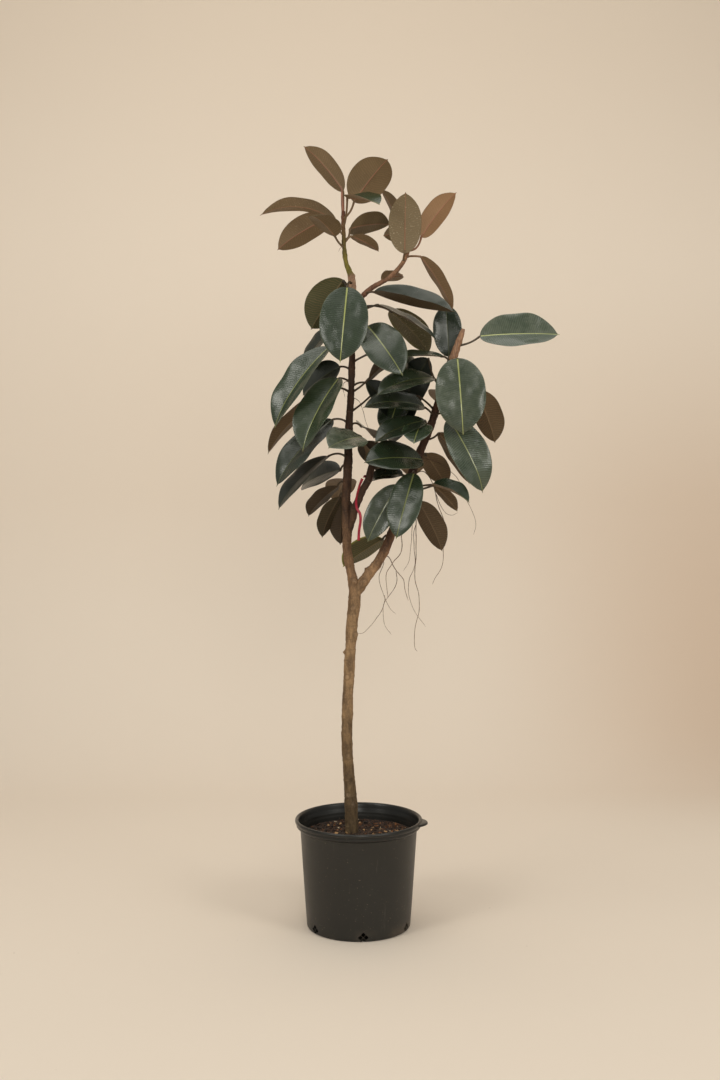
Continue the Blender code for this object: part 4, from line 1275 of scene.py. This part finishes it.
@dataclass(frozen=True)
class LeafLook:
    """What sets one leaf's finish and shape apart from the rest.

    Youth turns the underside pinkish brown and the midrib red; olive and rust
    tint it; rib and stripe are how plainly midrib and veins show on top; dim is
    painted shade that darkens a leaf deep among the rest; bloom is a pale film of
    painted sheen, a reflection laid into the colour, and flash the same on one
    half only, the half that its sign picks; glow is a painted lit edge, yellow-green
    along one margin of the underside.
    """

    youth: float = 0.15
    olive: float = 0.0
    rust: float = 0.0
    rib: float = 0.42
    # dim: how strongly painted shade darkens the leaf
    dim: float = 0.0
    stripe: float = 0.25
    speckle: float = 0.15
    # glow: how strongly a lit yellow-green edge is painted on the underside's margin
    glow: float = 0.0
    bloom: float = 0.0
    painted_half_sheen: float = 0.0
    scorch: float = 0.25
    wave: float = 1.0
    curl: float = 0.03


YOUNG = LeafLook(youth=1.0, speckle=0.3, wave=0.7)
# HIDDEN leaves sit deep in the crown and are darkened by painted shade
HIDDEN = LeafLook(rib=0.2, dim=0.7)
# bloom and flash lay painted sheen on a leaf, dim lays painted shade, and glow a painted lit edge
LOOKS: dict[str, dict[int, LeafLook]] = {
    "leader": {
        1: YOUNG, 2: LeafLook(youth=1.0, olive=0.12, speckle=0.15, wave=0.5), 3: YOUNG,
        4: LeafLook(youth=0.9, speckle=0.9, wave=0.8), 5: YOUNG,
        6: LeafLook(youth=0.55, olive=0.2, wave=0.6), 7: LeafLook(youth=0.8, olive=0.3, wave=0.6),
        8: LeafLook(rib=0.9, stripe=0.3, wave=0.5), 9: LeafLook(youth=0.0, olive=1.0),
        10: LeafLook(rib=0.55, bloom=0.04, wave=1.5, dim=0.12), 11: LeafLook(rib=0.2, dim=0.35),
        12: LeafLook(youth=0.0, olive=1.0, speckle=0.8, glow=0.3), 13: LeafLook(rib=0.2, dim=0.5),
        14: LeafLook(rib=0.2, dim=0.65), 15: LeafLook(rib=0.55, wave=1.8),
        16: LeafLook(rib=0.6, bloom=0.05, wave=1.6), 18: LeafLook(rib=0.3, dim=0.45, wave=1.6),
        19: LeafLook(rib=0.2, stripe=0.2, wave=1.4, bloom=0.35), 20: LeafLook(rib=0.3, dim=0.75),
        21: LeafLook(rib=0.3, dim=0.65), 22: LeafLook(dim=0.65), 23: LeafLook(dim=0.55, olive=0.4),
    },
    "upper_shoot": {
        1: LeafLook(youth=0.7, olive=0.35, speckle=1.0, wave=0.6), 2: LeafLook(youth=0.8, speckle=0.3),
        3: LeafLook(youth=1.0, rust=0.45, speckle=0.1, wave=0.5), 4: LeafLook(youth=0.9, rust=0.15),
        5: LeafLook(youth=0.3, olive=0.2, rib=0.5, dim=0.5, wave=0.4, curl=0.0),
        6: LeafLook(youth=0.7, rust=0.1, speckle=0.4),
    },
    "right_branch": {
        1: LeafLook(rib=0.8, stripe=0.4, wave=1.7, bloom=0.12),
        3: LeafLook(rib=0.5, stripe=1.0, scorch=1.0, curl=0.08, bloom=0.12), 6: LeafLook(dim=0.3),
        7: LeafLook(rib=0.3, dim=0.2), 8: LeafLook(rib=0.15, dim=0.4), 9: LeafLook(rib=0.2, dim=0.3),
        10: LeafLook(rib=0.25, dim=0.4), 11: LeafLook(rib=0.2, dim=0.45), 12: LeafLook(rib=0.35, dim=0.35),
        13: LeafLook(rib=0.42, bloom=0.03), 14: LeafLook(rib=0.3, bloom=0.12),
        17: LeafLook(youth=0.0, olive=1.0, glow=1.0, wave=0.3),
    },
    "right_bud": {
        1: LeafLook(rib=0.85, stripe=0.9, wave=1.2, curl=0.0, painted_half_sheen=-0.2),
    },
    "small": {
        1: YOUNG, 2: YOUNG, 3: LeafLook(rib=0.2, dim=0.6), 4: LeafLook(rib=0.2, dim=0.5),
        5: LeafLook(rib=0.2, dim=0.4), 8: LeafLook(dim=0.6), 11: LeafLook(rib=0.2, dim=0.5), 13: HIDDEN,
        14: HIDDEN, 15: HIDDEN, 16: HIDDEN,
    },
}


@dataclass
class Leaf:
    """One leaf: a stalk that runs into the blade's raised midrib, and the blade."""

    name: str
    limb: tuple
    row: tuple
    look: LeafLook
    seed: int
    length_steps: int = 46
    stalk_radius: float = 0.22
    stalk_rise: float = 0.25
    thickness: float = 0.055
    usual_fold: float = 13.0
    stops: ClassVar[Array] = np.array([0.0, 0.012, 0.03, 0.055, 0.09, 0.15, 0.24, 0.35, 0.47, 0.59, 0.70,
                                       0.80, 0.885, 0.95, 0.985])

    def outline(self, share: Array, width: float) -> Array:
        """Half the blade's width along its length.

        It is width / 2 x (1 - |2 share - 1| ^ n) ^ m, fuller at the base than at
        the tip, drawn out at the last twentieth into a narrow drip tip.
        """
        body = np.clip(share / 0.972, 0, 1)
        power = np.where(body < 0.5, 2.2, 2.45)
        root = np.where(body < 0.5, 0.56, 0.80)
        full = width / 2 * np.clip(1 - np.abs(2 * body - 1) ** power, 0, 1) ** root
        drip = np.clip((1 - share) / 0.075, 0, 1) ** 0.8 * 0.34
        return np.maximum(np.hypot(full, np.where(share > 0.9, drip, 0.0)), 0.03 + 0.1 * (share < 0.5))

    def pose(self) -> tuple[Array, Array, Array]:
        """The neck, the line from there to the tip, and the unit vector out of the upper side."""
        _, neck, tip, _, face, *_ = (np.asarray(part, float) for part in self.row)
        along = tip - neck
        return neck, along, unit(face - along * (face @ along) / (along @ along))

    def blade_grid(self) -> tuple[Array, dict[str, Array], Array]:
        """Work out the blade's closed surface.

        Sections lie on the bowed line from neck to tip.  In each, a point at v
        across, from -1 to 1, rises with |v| for the fold, waves near the margin
        and is half the local thickness above or below; the underside drops
        further at the midrib by the ridge's height x exp(-(distance / 0.17) ^ 2).

        Returns:
            The grid, its marks, and the slot of each column.
        """
        width, bow, *special = self.row[3], *self.row[5:]
        fold = math.radians(special[0] if special else self.usual_fold)
        draw = np.random.default_rng(self.seed)
        neck, along, upward = self.pose()
        length = float(np.linalg.norm(along))
        even = np.linspace(0.0, 1.0, self.length_steps)
        share = 0.45 * even + 0.55 * (1 - np.cos(math.pi * even)) / 2
        droop = self.look.curl * np.clip((share - 0.7) / 0.3, 0, 1) ** 2
        rise = bow * 4 * share * (1 - share) - droop
        centre = neck + along * share[:, None] + upward * length * rise[:, None]
        tangent = unit(np.gradient(centre, axis=0))
        side = unit(np.cross(tangent, upward))
        normal = np.cross(side, tangent)
        turn = math.radians(draw.normal(0, 3.0)) * (share - 0.2)
        side, normal = (side * np.cos(turn)[:, None] + normal * np.sin(turn)[:, None],
                        normal * np.cos(turn)[:, None] - side * np.sin(turn)[:, None])
        across = np.concatenate([-self.stops[:0:-1], self.stops])
        v = np.concatenate([[-1.0], across, [1.0], across[::-1]])
        out = np.abs(v)
        above = np.repeat([0.0, 1.0, 0.0, -1.0], [1, len(across), 1, len(across)])
        swing, phase = draw.uniform(1.2, 2.4, 2), draw.uniform(0, 2 * math.pi, 2)
        waves = np.sin(2 * math.pi * (share[:, None] * swing + phase))
        share = share[:, None]
        half = self.outline(share, width)
        lobe = out ** 1.12 * math.sin(fold) - 0.05 * out ** 5
        margin = np.where(v > 0, waves[:, :1], waves[:, 1:]) * out ** 3
        calm = np.sin(math.pi * share)
        quilt = 0.018 * np.sin(2 * math.pi * (share * length - VEIN_SLANT * out * half) / VEIN_GAP)
        lift = (half * (lobe + 0.045 * self.look.wave * margin * calm)
                + quilt * np.clip(out * 3, 0, 1) * (1 - out ** 4) * calm)
        body = self.thickness * (1 - 0.45 * out) * np.sqrt(np.clip(1 - v ** 8, 0, 1))
        ridge = 0.19 * (1 - share) ** 0.75 * np.exp(-(out * half / 0.17) ** 2)
        groove = 0.035 * (1 - share) * np.exp(-(out * half / 0.12) ** 2)
        depth = above * body - (above < 0) * ridge + (above > 0) * groove
        offset = (side[:, None] * (half * v * math.cos(fold))[..., None]
                  + normal[:, None] * (lift + depth)[..., None])
        # painted sheen on one half of the blade only, the half that the sign of flash picks
        painted_half_sheen_mask = np.where(np.sign(self.look.painted_half_sheen) * v > 0.02, abs(self.look.painted_half_sheen), 0.0)
        # edge masks the glow, a painted lit edge along the margin of one half
        edge = np.clip(1 - (1 - out) * half / 0.7, 0, 1) * (v < 0)
        marks = self.marks(offset.shape[:2], margin=(1 - out) * half, glow=self.look.glow * edge,
                           scorch=self.look.scorch * np.clip((share - 0.965) / 0.02, 0, 1),
                           bloom=self.look.bloom + painted_half_sheen_mask)
        marks["blade"] = np.stack(np.broadcast_arrays(half * v, share * length, share), -1)
        slots = np.where(above > 0, 0, 1)
        slots[[0, len(across) + 1]] = 0, 1
        return centre[:, None] + offset, marks, slots

    def marks(self, size: tuple[int, int], **varied: Array) -> dict[str, Array]:
        """The finish values for a grid of this size: the leaf's own, and those that vary on it."""
        values = {name: getattr(self.look, name)
                  for name in ("youth", "olive", "rust", "rib", "dim", "bloom", "stripe", "speckle")}
        values |= {"shade": np.random.default_rng(self.seed + 1).uniform(), "margin": 5.0,
                   "scorch": 0.0, "glow": 0.0, **varied}
        marks = {name: np.broadcast_to(value, size) for name, value in values.items()}
        return {**marks, "blade": np.zeros((*size, 3))}

    def stalk_grid(self) -> tuple[Array, dict[str, Array]]:
        """Carry a circle from inside the limb to the neck and on under the blade.

        Its route is a quadratic curve.  The stalk is thickest at its foot and a
        little swollen at the neck.
        """
        neck, along, upward = self.pose()
        along = unit(along)
        centre, direction, radius = limb_at(self.limb, self.row[0])
        radial = neck - centre
        radial = unit(radial - direction * (radial @ direction))
        foot = centre + radial * radius
        reach = float(np.linalg.norm(neck - foot))
        bend = foot + (radial * 0.45 + direction * self.stalk_rise) * reach
        t = np.linspace(0.0, 1.0, 18)[:, None]
        curve = foot * (1 - t) ** 2 + bend * 2 * t * (1 - t) + neck * t ** 2
        route = np.vstack([centre + radial * radius * 0.45, curve[:-1],
                           neck - upward * 0.05, neck + along * 0.7 - upward * 0.10])
        gone = np.linspace(0.0, 1.0, len(route))
        size = self.stalk_radius * (1 + 0.75 * np.exp(-gone / 0.07)
                                    + 0.18 * np.exp(-((gone - 0.92) / 0.07) ** 2))
        size[-1] *= 0.55
        reference = unit(np.cross(neck - foot, np.array([0.31, 0.17, 0.93])) + 1e-6)
        grid = tube_grid(route, size, 14, tuple(reference))
        return grid, self.marks(grid.shape[:2])

    def build(self, materials: Sequence[bpy.types.Material]) -> bpy.types.Object:
        """Make the leaf in one piece."""
        sketch = MeshSketch()
        grid, marks, slots = self.blade_grid()
        sketch.shell(grid, slots, **marks)
        stalk, stalk_marks = self.stalk_grid()
        sketch.shell(stalk, 2, **stalk_marks)
        return sketch.build(self.name, *materials)


@dataclass
class Foliage:
    """Every leaf of the plant, each its own piece."""

    crowds: tuple = (("leader", LEADER, LEADER_LEAVES), ("upper_shoot", UPPER_SHOOT, UPPER_SHOOT_LEAVES),
                     ("right_branch", RIGHT_BRANCH, RIGHT_BRANCH_LEAVES),
                     ("right_bud", RIGHT_BUD, BUD_LEAVES), ("small", None, SMALL_LEAVES))
    first_seed: int = 100
    seed_step: int = 7

    def build(self, materials: Sequence[bpy.types.Material]) -> None:
        """Make every leaf; the small ones bring their own limb and stand for no solid."""
        seed = self.first_seed
        for crowd, limb, rows in self.crowds:
            for number, row in enumerate(rows, 1):
                node, look = f"{crowd}_leaf_{number:02d}", LOOKS[crowd].get(number, LeafLook())
                if limb:
                    place_piece(Leaf(f"{node}_blade", limb, row, look, seed).build(materials), "leaf", node)
                else:
                    place_piece(Leaf(node, *row, look, seed).build(materials), "leaf")
                seed += self.seed_step


# ---- aerial roots and ribbon -------------------------------------------------
AERIAL_ROOTS = (
    ((8.9, -0.3, 90.2), (9.4, -1.2, 88.6), (9.4, -1.4, 86.2), (9.2, -1.4, 83),
     (7.2, -1.3, 80.4), (6, -1.4, 78), (6.1, -1.6, 75.4), (6.4, -1.6, 72.8)),
    ((5.7, 1.4, 82), (6.8, 2.2, 81.2), (8.2, 2.6, 78.4), (9.8, 2.7, 76.6),
     (10.2, 2.8, 74.2), (10.9, 2.8, 71.8)),
    ((11.2, 1.9, 96.6), (12.2, 4.4, 94.4), (12.6, 5, 88.4), (12.6, 5, 82),
     (12.6, 4.8, 76.4), (13.2, 4.8, 73.2), (13.2, 4.8, 69), (12.4, 4.7, 65.2),
     (12.4, 4.8, 61.4), (13, 4.8, 60.2)),
    ((12.3, 1.9, 99.8), (14.4, 5, 100), (16.2, 6.2, 97.6), (17.1, 6.4, 95),
     (17.6, 6.4, 92), (18.9, 6.3, 89.2), (18.7, 6.2, 86), (18.8, 6.2, 82.4),
     (18.6, 6.2, 79.4), (17, 6.1, 76.6), (16.3, 6.1, 75)),
)
FINE_ROOTS = (
    ((8.2, 2.6, 78.4), (8.3, 2.6, 75.6), (6.1, 2.6, 71.9), (5.5, 2.6, 69.7), (5.7, 2.6, 66.6),
     (7.2, 2.7, 64.3)),
    ((4.7, 0.8, 81), (5.5, 1.2, 80.2), (4.4, 1, 76.9), (5.5, 1, 73.6), (6.8, 1, 70.5),
     (8.2, 1, 69)),
    ((5.6, 1, 73.2), (5.7, 1.2, 71.9), (4.8, 1.2, 69.7), (2.7, 1, 66.8), (1.2, 0.8, 65.1),
     (-0.2, 0.7, 64.8)),
    ((9.9, 1.2, 94.4), (11.4, 2.4, 91.8), (11.75, 2.6, 88.4), (11.5, 2.6, 84.3), (11.1, 2.6, 80.8),
     (9.8, 2.6, 78.4)),
    ((12.6, 5, 88.4), (12.1, 4.6, 86), (12.4, 4.4, 79.7), (11.1, 4.2, 76.4), (11.3, 4.2, 71.9),
     (12.8, 4.2, 68.6), (14.8, 4.2, 65.9)),
    ((17.1, 6.4, 95), (18, 6.2, 92.6), (18.9, 6, 91.2), (20.6, 5.8, 90.4), (21.9, 5.8, 91)),
    ((13, 1.6, 103.2), (17.5, 3.2, 102), (21.5, 3, 98.6), (23.8, 2.6, 93.6), (25.2, 2.6, 90.4),
     (25.6, 2.6, 88.2), (25.1, 2.6, 86.3)),
    ((-1.7, -0.4, 116.4), (0.3, -0.9, 115), (1.2, -1, 112), (2.2, -1.1, 109), (2.7, -1.1, 107.9)),
    ((-1.9, -0.3, 119.6), (-3.1, -0.8, 119.2), (-3.3, -0.9, 117.6), (-2.9, -0.9, 116)),
    ((-3.2, -0.2, 148.6), (-4, -0.7, 147.8), (-4.3, -0.8, 147)),
)


@dataclass
class AerialRoots:
    """Thin roots: most hang free from the right branch, and the last three from the leader."""

    thick: float = 0.095
    fine: float = 0.07
    sides: int = 10

    def build_root(self, name: str, route: tuple, radius: float, seed: int,
                   material: bpy.types.Material) -> bpy.types.Object:
        """A tapering tube along a route that wanders by a little low noise."""
        rows, along = even_route(route, 0.22)
        share = along / along[-1]
        drift = np.stack([ripple(rows[:, :3], 0.22, seed + k) for k in range(3)], 1)
        rows[:, :3] += 0.09 * drift * np.sin(math.pi * share)[:, None]
        girth = radius * (1 - 0.45 * share) * (1 + 0.10 * ripple(rows[:, :3], 1.3, seed + 4))
        girth[-3:] *= np.array([0.85, 0.6, 0.3])
        grid = tube_grid(rows, girth, self.sides, (0.12, 1.0, 0.06))
        young = np.broadcast_to(np.clip(share * 1.2 - 0.1, 0, 1)[:, None], grid.shape[:2])
        return one_shell(name, grid, material, youth=young)

    def build(self, material: bpy.types.Material) -> None:
        """Make the four main roots and then the threads."""
        for number, route in enumerate(AERIAL_ROOTS, 1):
            root = self.build_root(f"hanging_root_{number}", route, self.thick, 500 + 9 * number, material)
            place_piece(root, "root", f"aerial_root_{number}")
        for number, route in enumerate(FINE_ROOTS, 1):
            name = f"root_thread_{number:02d}"
            place_piece(self.build_root(name, route, self.fine, 700 + 9 * number, material), "root")


@dataclass
class MarkerRibbon:
    """A crimson tape caught behind the middle branch, with its tail hanging free."""

    width: float = 0.6
    film: float = 0.05
    loop_height: float = 98.9
    tail: tuple = ((0.8, -3.3, 98.8), (0.1, -3.4, 97.0), (-0.5, -3.1, 94.4), (-0.4, -2.9, 92.6),
                   (0.3, -2.9, 91.2), (0.4, -2.9, 89.6), (0.1, -2.8, 87.6), (0.0, -2.8, 85.5))

    def band(self, rows: Array, across: Array, out: Array) -> Array:
        """Carry a flat rounded section, as wide as the tape and as thick as its film."""
        under = np.array([(-1.0, 0.0), (-0.94, -0.8), (-0.5, -1.0), (0.0, -1.0), (0.5, -1.0), (0.94, -0.8)])
        ring = np.vstack([under, -under])[..., None]
        return (rows[:, None] + across[:, None] * ring[:, 0] * self.width / 2
                + out[:, None] * ring[:, 1] * self.film / 2)

    def build(self, material: bpy.types.Material) -> None:
        """Make the tail and the loop."""
        rows, along = even_route(self.tail, 0.2)
        turn = 0.55 * np.sin(along * 0.42) + 0.2
        across = np.stack([np.cos(turn), np.sin(turn), 0 * turn], 1)
        tangent = unit(np.gradient(rows, axis=0))
        across = unit(across - tangent * (across * tangent).sum(1, keepdims=True))
        tail = one_shell("ribbon_tail", self.band(rows, across, np.cross(tangent, across)), material)
        place_piece(tail, "ribbon", "marker_ribbon")
        centre, direction, radius = limb_at(MIDDLE_BRANCH, self.loop_height)
        first = unit(np.cross(direction, np.array([0.0, 1.0, 0.0])))
        second = np.cross(first, direction)
        angle = np.linspace(-0.15 * math.pi, 0.95 * math.pi, 50)
        spoke = first * np.cos(angle)[:, None] + second * np.sin(angle)[:, None]
        gap = 0.08 + 0.5 * np.exp(-np.linspace(0.0, 4.0, 50))
        rows = centre + spoke * (radius + gap)[:, None] + direction * (0.25 * np.sin(angle))[:, None]
        tangent = unit(np.gradient(rows, axis=0))
        loop = one_shell("ribbon_loop", self.band(rows, np.cross(spoke, tangent), spoke), material)
        place_piece(loop, "ribbon")


# ---- the studio --------------------------------------------------------------
@dataclass
class SoftBox:
    """One rectangular area light."""

    name: str
    place: tuple[float, float, float]
    aim: tuple[float, float, float]
    size: tuple[float, float]
    power: float
    colour: Colour = (1.0, 0.975, 0.905)

    def build(self) -> None:
        """Add the light, turned to its aim."""
        lamp = bpy.data.lights.new(self.name, "AREA")
        lamp.shape, lamp.size, lamp.size_y = "RECTANGLE", *self.size
        lamp.energy, lamp.color = self.power, self.colour
        item = bpy.data.objects.new(self.name, lamp)
        item.location = self.place
        item.rotation_euler = (Vector(self.aim) - Vector(self.place)).to_track_quat("-Z", "Y").to_euler()
        bpy.context.scene.collection.objects.link(item)


@dataclass
class Studio:
    """Camera, paper sweep and soft light."""

    camera_place: tuple[float, float, float] = (0.003, -3.2, 1.10)
    pitch: float = 4.4
    lens: float = 49.33
    half_width: float = 4.0
    front: float = -4.5
    bend_start: float = 1.15
    bend_radius: float = 0.85
    height: float = 4.2
    world: Colour = (1.0, 0.965, 0.885)
    world_strength: float = 0.36
    boxes: tuple[SoftBox, ...] = (
        SoftBox("key_left", (-2.3, -2.3, 2.7), (0.0, 0.1, 0.8), (1.0, 1.4), 30.0),
        SoftBox("key_right", (2.4, -2.2, 2.5), (0.0, 0.1, 0.8), (1.0, 1.4), 27.0),
        SoftBox("overhead", (0.0, 0.2, 3.4), (0.0, 0.2, 0.0), (2.6, 2.0), 22.0),
        SoftBox("paper_glow", (-0.6, -0.6, 3.4), (-0.3, 2.0, 0.7), (2.4, 1.2), 11.0),
        SoftBox("front_fill", (0.5, -4.1, 2.2), (0.0, 0.0, 1.25), (1.2, 0.9), 30.0),
    )

    def build_camera(self) -> None:
        """A level-rolled camera in front of the pot, tilted a little down."""
        lens = bpy.data.cameras.new("camera")
        lens.lens, lens.sensor_width = self.lens, 36.0
        item = bpy.data.objects.new("camera", lens)
        item.location = self.camera_place
        item.rotation_euler = (math.radians(90.0 - self.pitch), 0.0, 0.0)
        bpy.context.scene.collection.objects.link(item)
        bpy.context.scene.camera = item

    def build_paper(self, material: bpy.types.Material) -> None:
        """A sheet that runs back along the floor and curves up a quarter circle into the wall."""
        arc = np.linspace(0.0, math.pi / 2, 40)
        floor = np.stack([np.linspace(self.front, self.bend_start, 30), np.zeros(30)], 1)
        bend = np.stack([self.bend_start + self.bend_radius * np.sin(arc),
                         self.bend_radius * (1 - np.cos(arc))], 1)
        wall = np.stack([np.full(20, bend[-1, 0]), np.linspace(bend[-1, 1], self.height, 20)], 1)
        side = np.vstack([floor, bend[1:], wall[1:]])
        across = np.linspace(-self.half_width, self.half_width, 41)
        grid = np.stack(np.broadcast_arrays(across[None], side[:, :1], side[:, 1:]), -1)
        rows, columns = grid.shape[:2]
        index = np.arange(rows * columns).reshape(rows, columns)
        faces = np.stack([index[:-1, :-1], index[:-1, 1:], index[1:, 1:], index[1:, :-1]], -1)
        mesh = bpy.data.meshes.new("paper_sweep")
        mesh.from_pydata(grid.reshape(-1, 3).tolist(), [], faces.reshape(-1, 4).tolist())
        mesh.shade_smooth()
        mesh.materials.append(material)
        item = bpy.data.objects.new("paper_sweep", mesh)
        bpy.context.scene.collection.objects.link(item)

    def build(self, effects: Effects) -> None:
        """Set up the camera, the paper, the lights and the room's own glow."""
        scene = bpy.context.scene
        scene.view_settings.view_transform = "Standard"
        self.build_camera()
        self.build_paper(PaperSweep().material(effects))
        for box in self.boxes:
            box.build()
        world = bpy.data.worlds.new("room")
        world.use_nodes = True
        glow = world.node_tree.nodes["Background"]
        glow.inputs["Color"].default_value = (*self.world, 1.0)
        glow.inputs["Strength"].default_value = self.world_strength
        scene.world = world


def main() -> None:
    """Build the plant round its frame, piece by piece."""
    logging.basicConfig(level=logging.INFO, format="%(name)s: %(message)s")
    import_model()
    effects = Effects()
    Studio().build(effects)
    NurseryPot().build(PotPlastic().material(effects))
    soil = PottingSoil()
    soil.build_bed(SoilMix().material(effects))
    chip_finish = BarkChips().material(effects)
    for name, count, longest, seed in soil.scatter:
        soil.build_chips(name, count, longest, seed, chip_finish)
    WoodyStem().build(Bark().material(effects))
    BudRoll("leader_bud", LEFT_BUD, "left_bud_sheath", 3).build(
        BudSheath("bud_red", tone(158, 96, 74), tone(108, 60, 46)).material(effects))
    BudRoll("branch_bud", RIGHT_BUD, "right_bud_sheath", 4).build(
        BudSheath("bud_rust", tone(158, 114, 80), tone(102, 66, 44)).material(effects))
    Foliage().build([LeafTop().material(effects), LeafUnderside().material(effects),
                     LeafStalk().material(effects)])
    AerialRoots().build(RootSkin().material(effects))
    MarkerRibbon().build(RibbonFilm().material(effects))


if __name__ == "__main__":
    main()
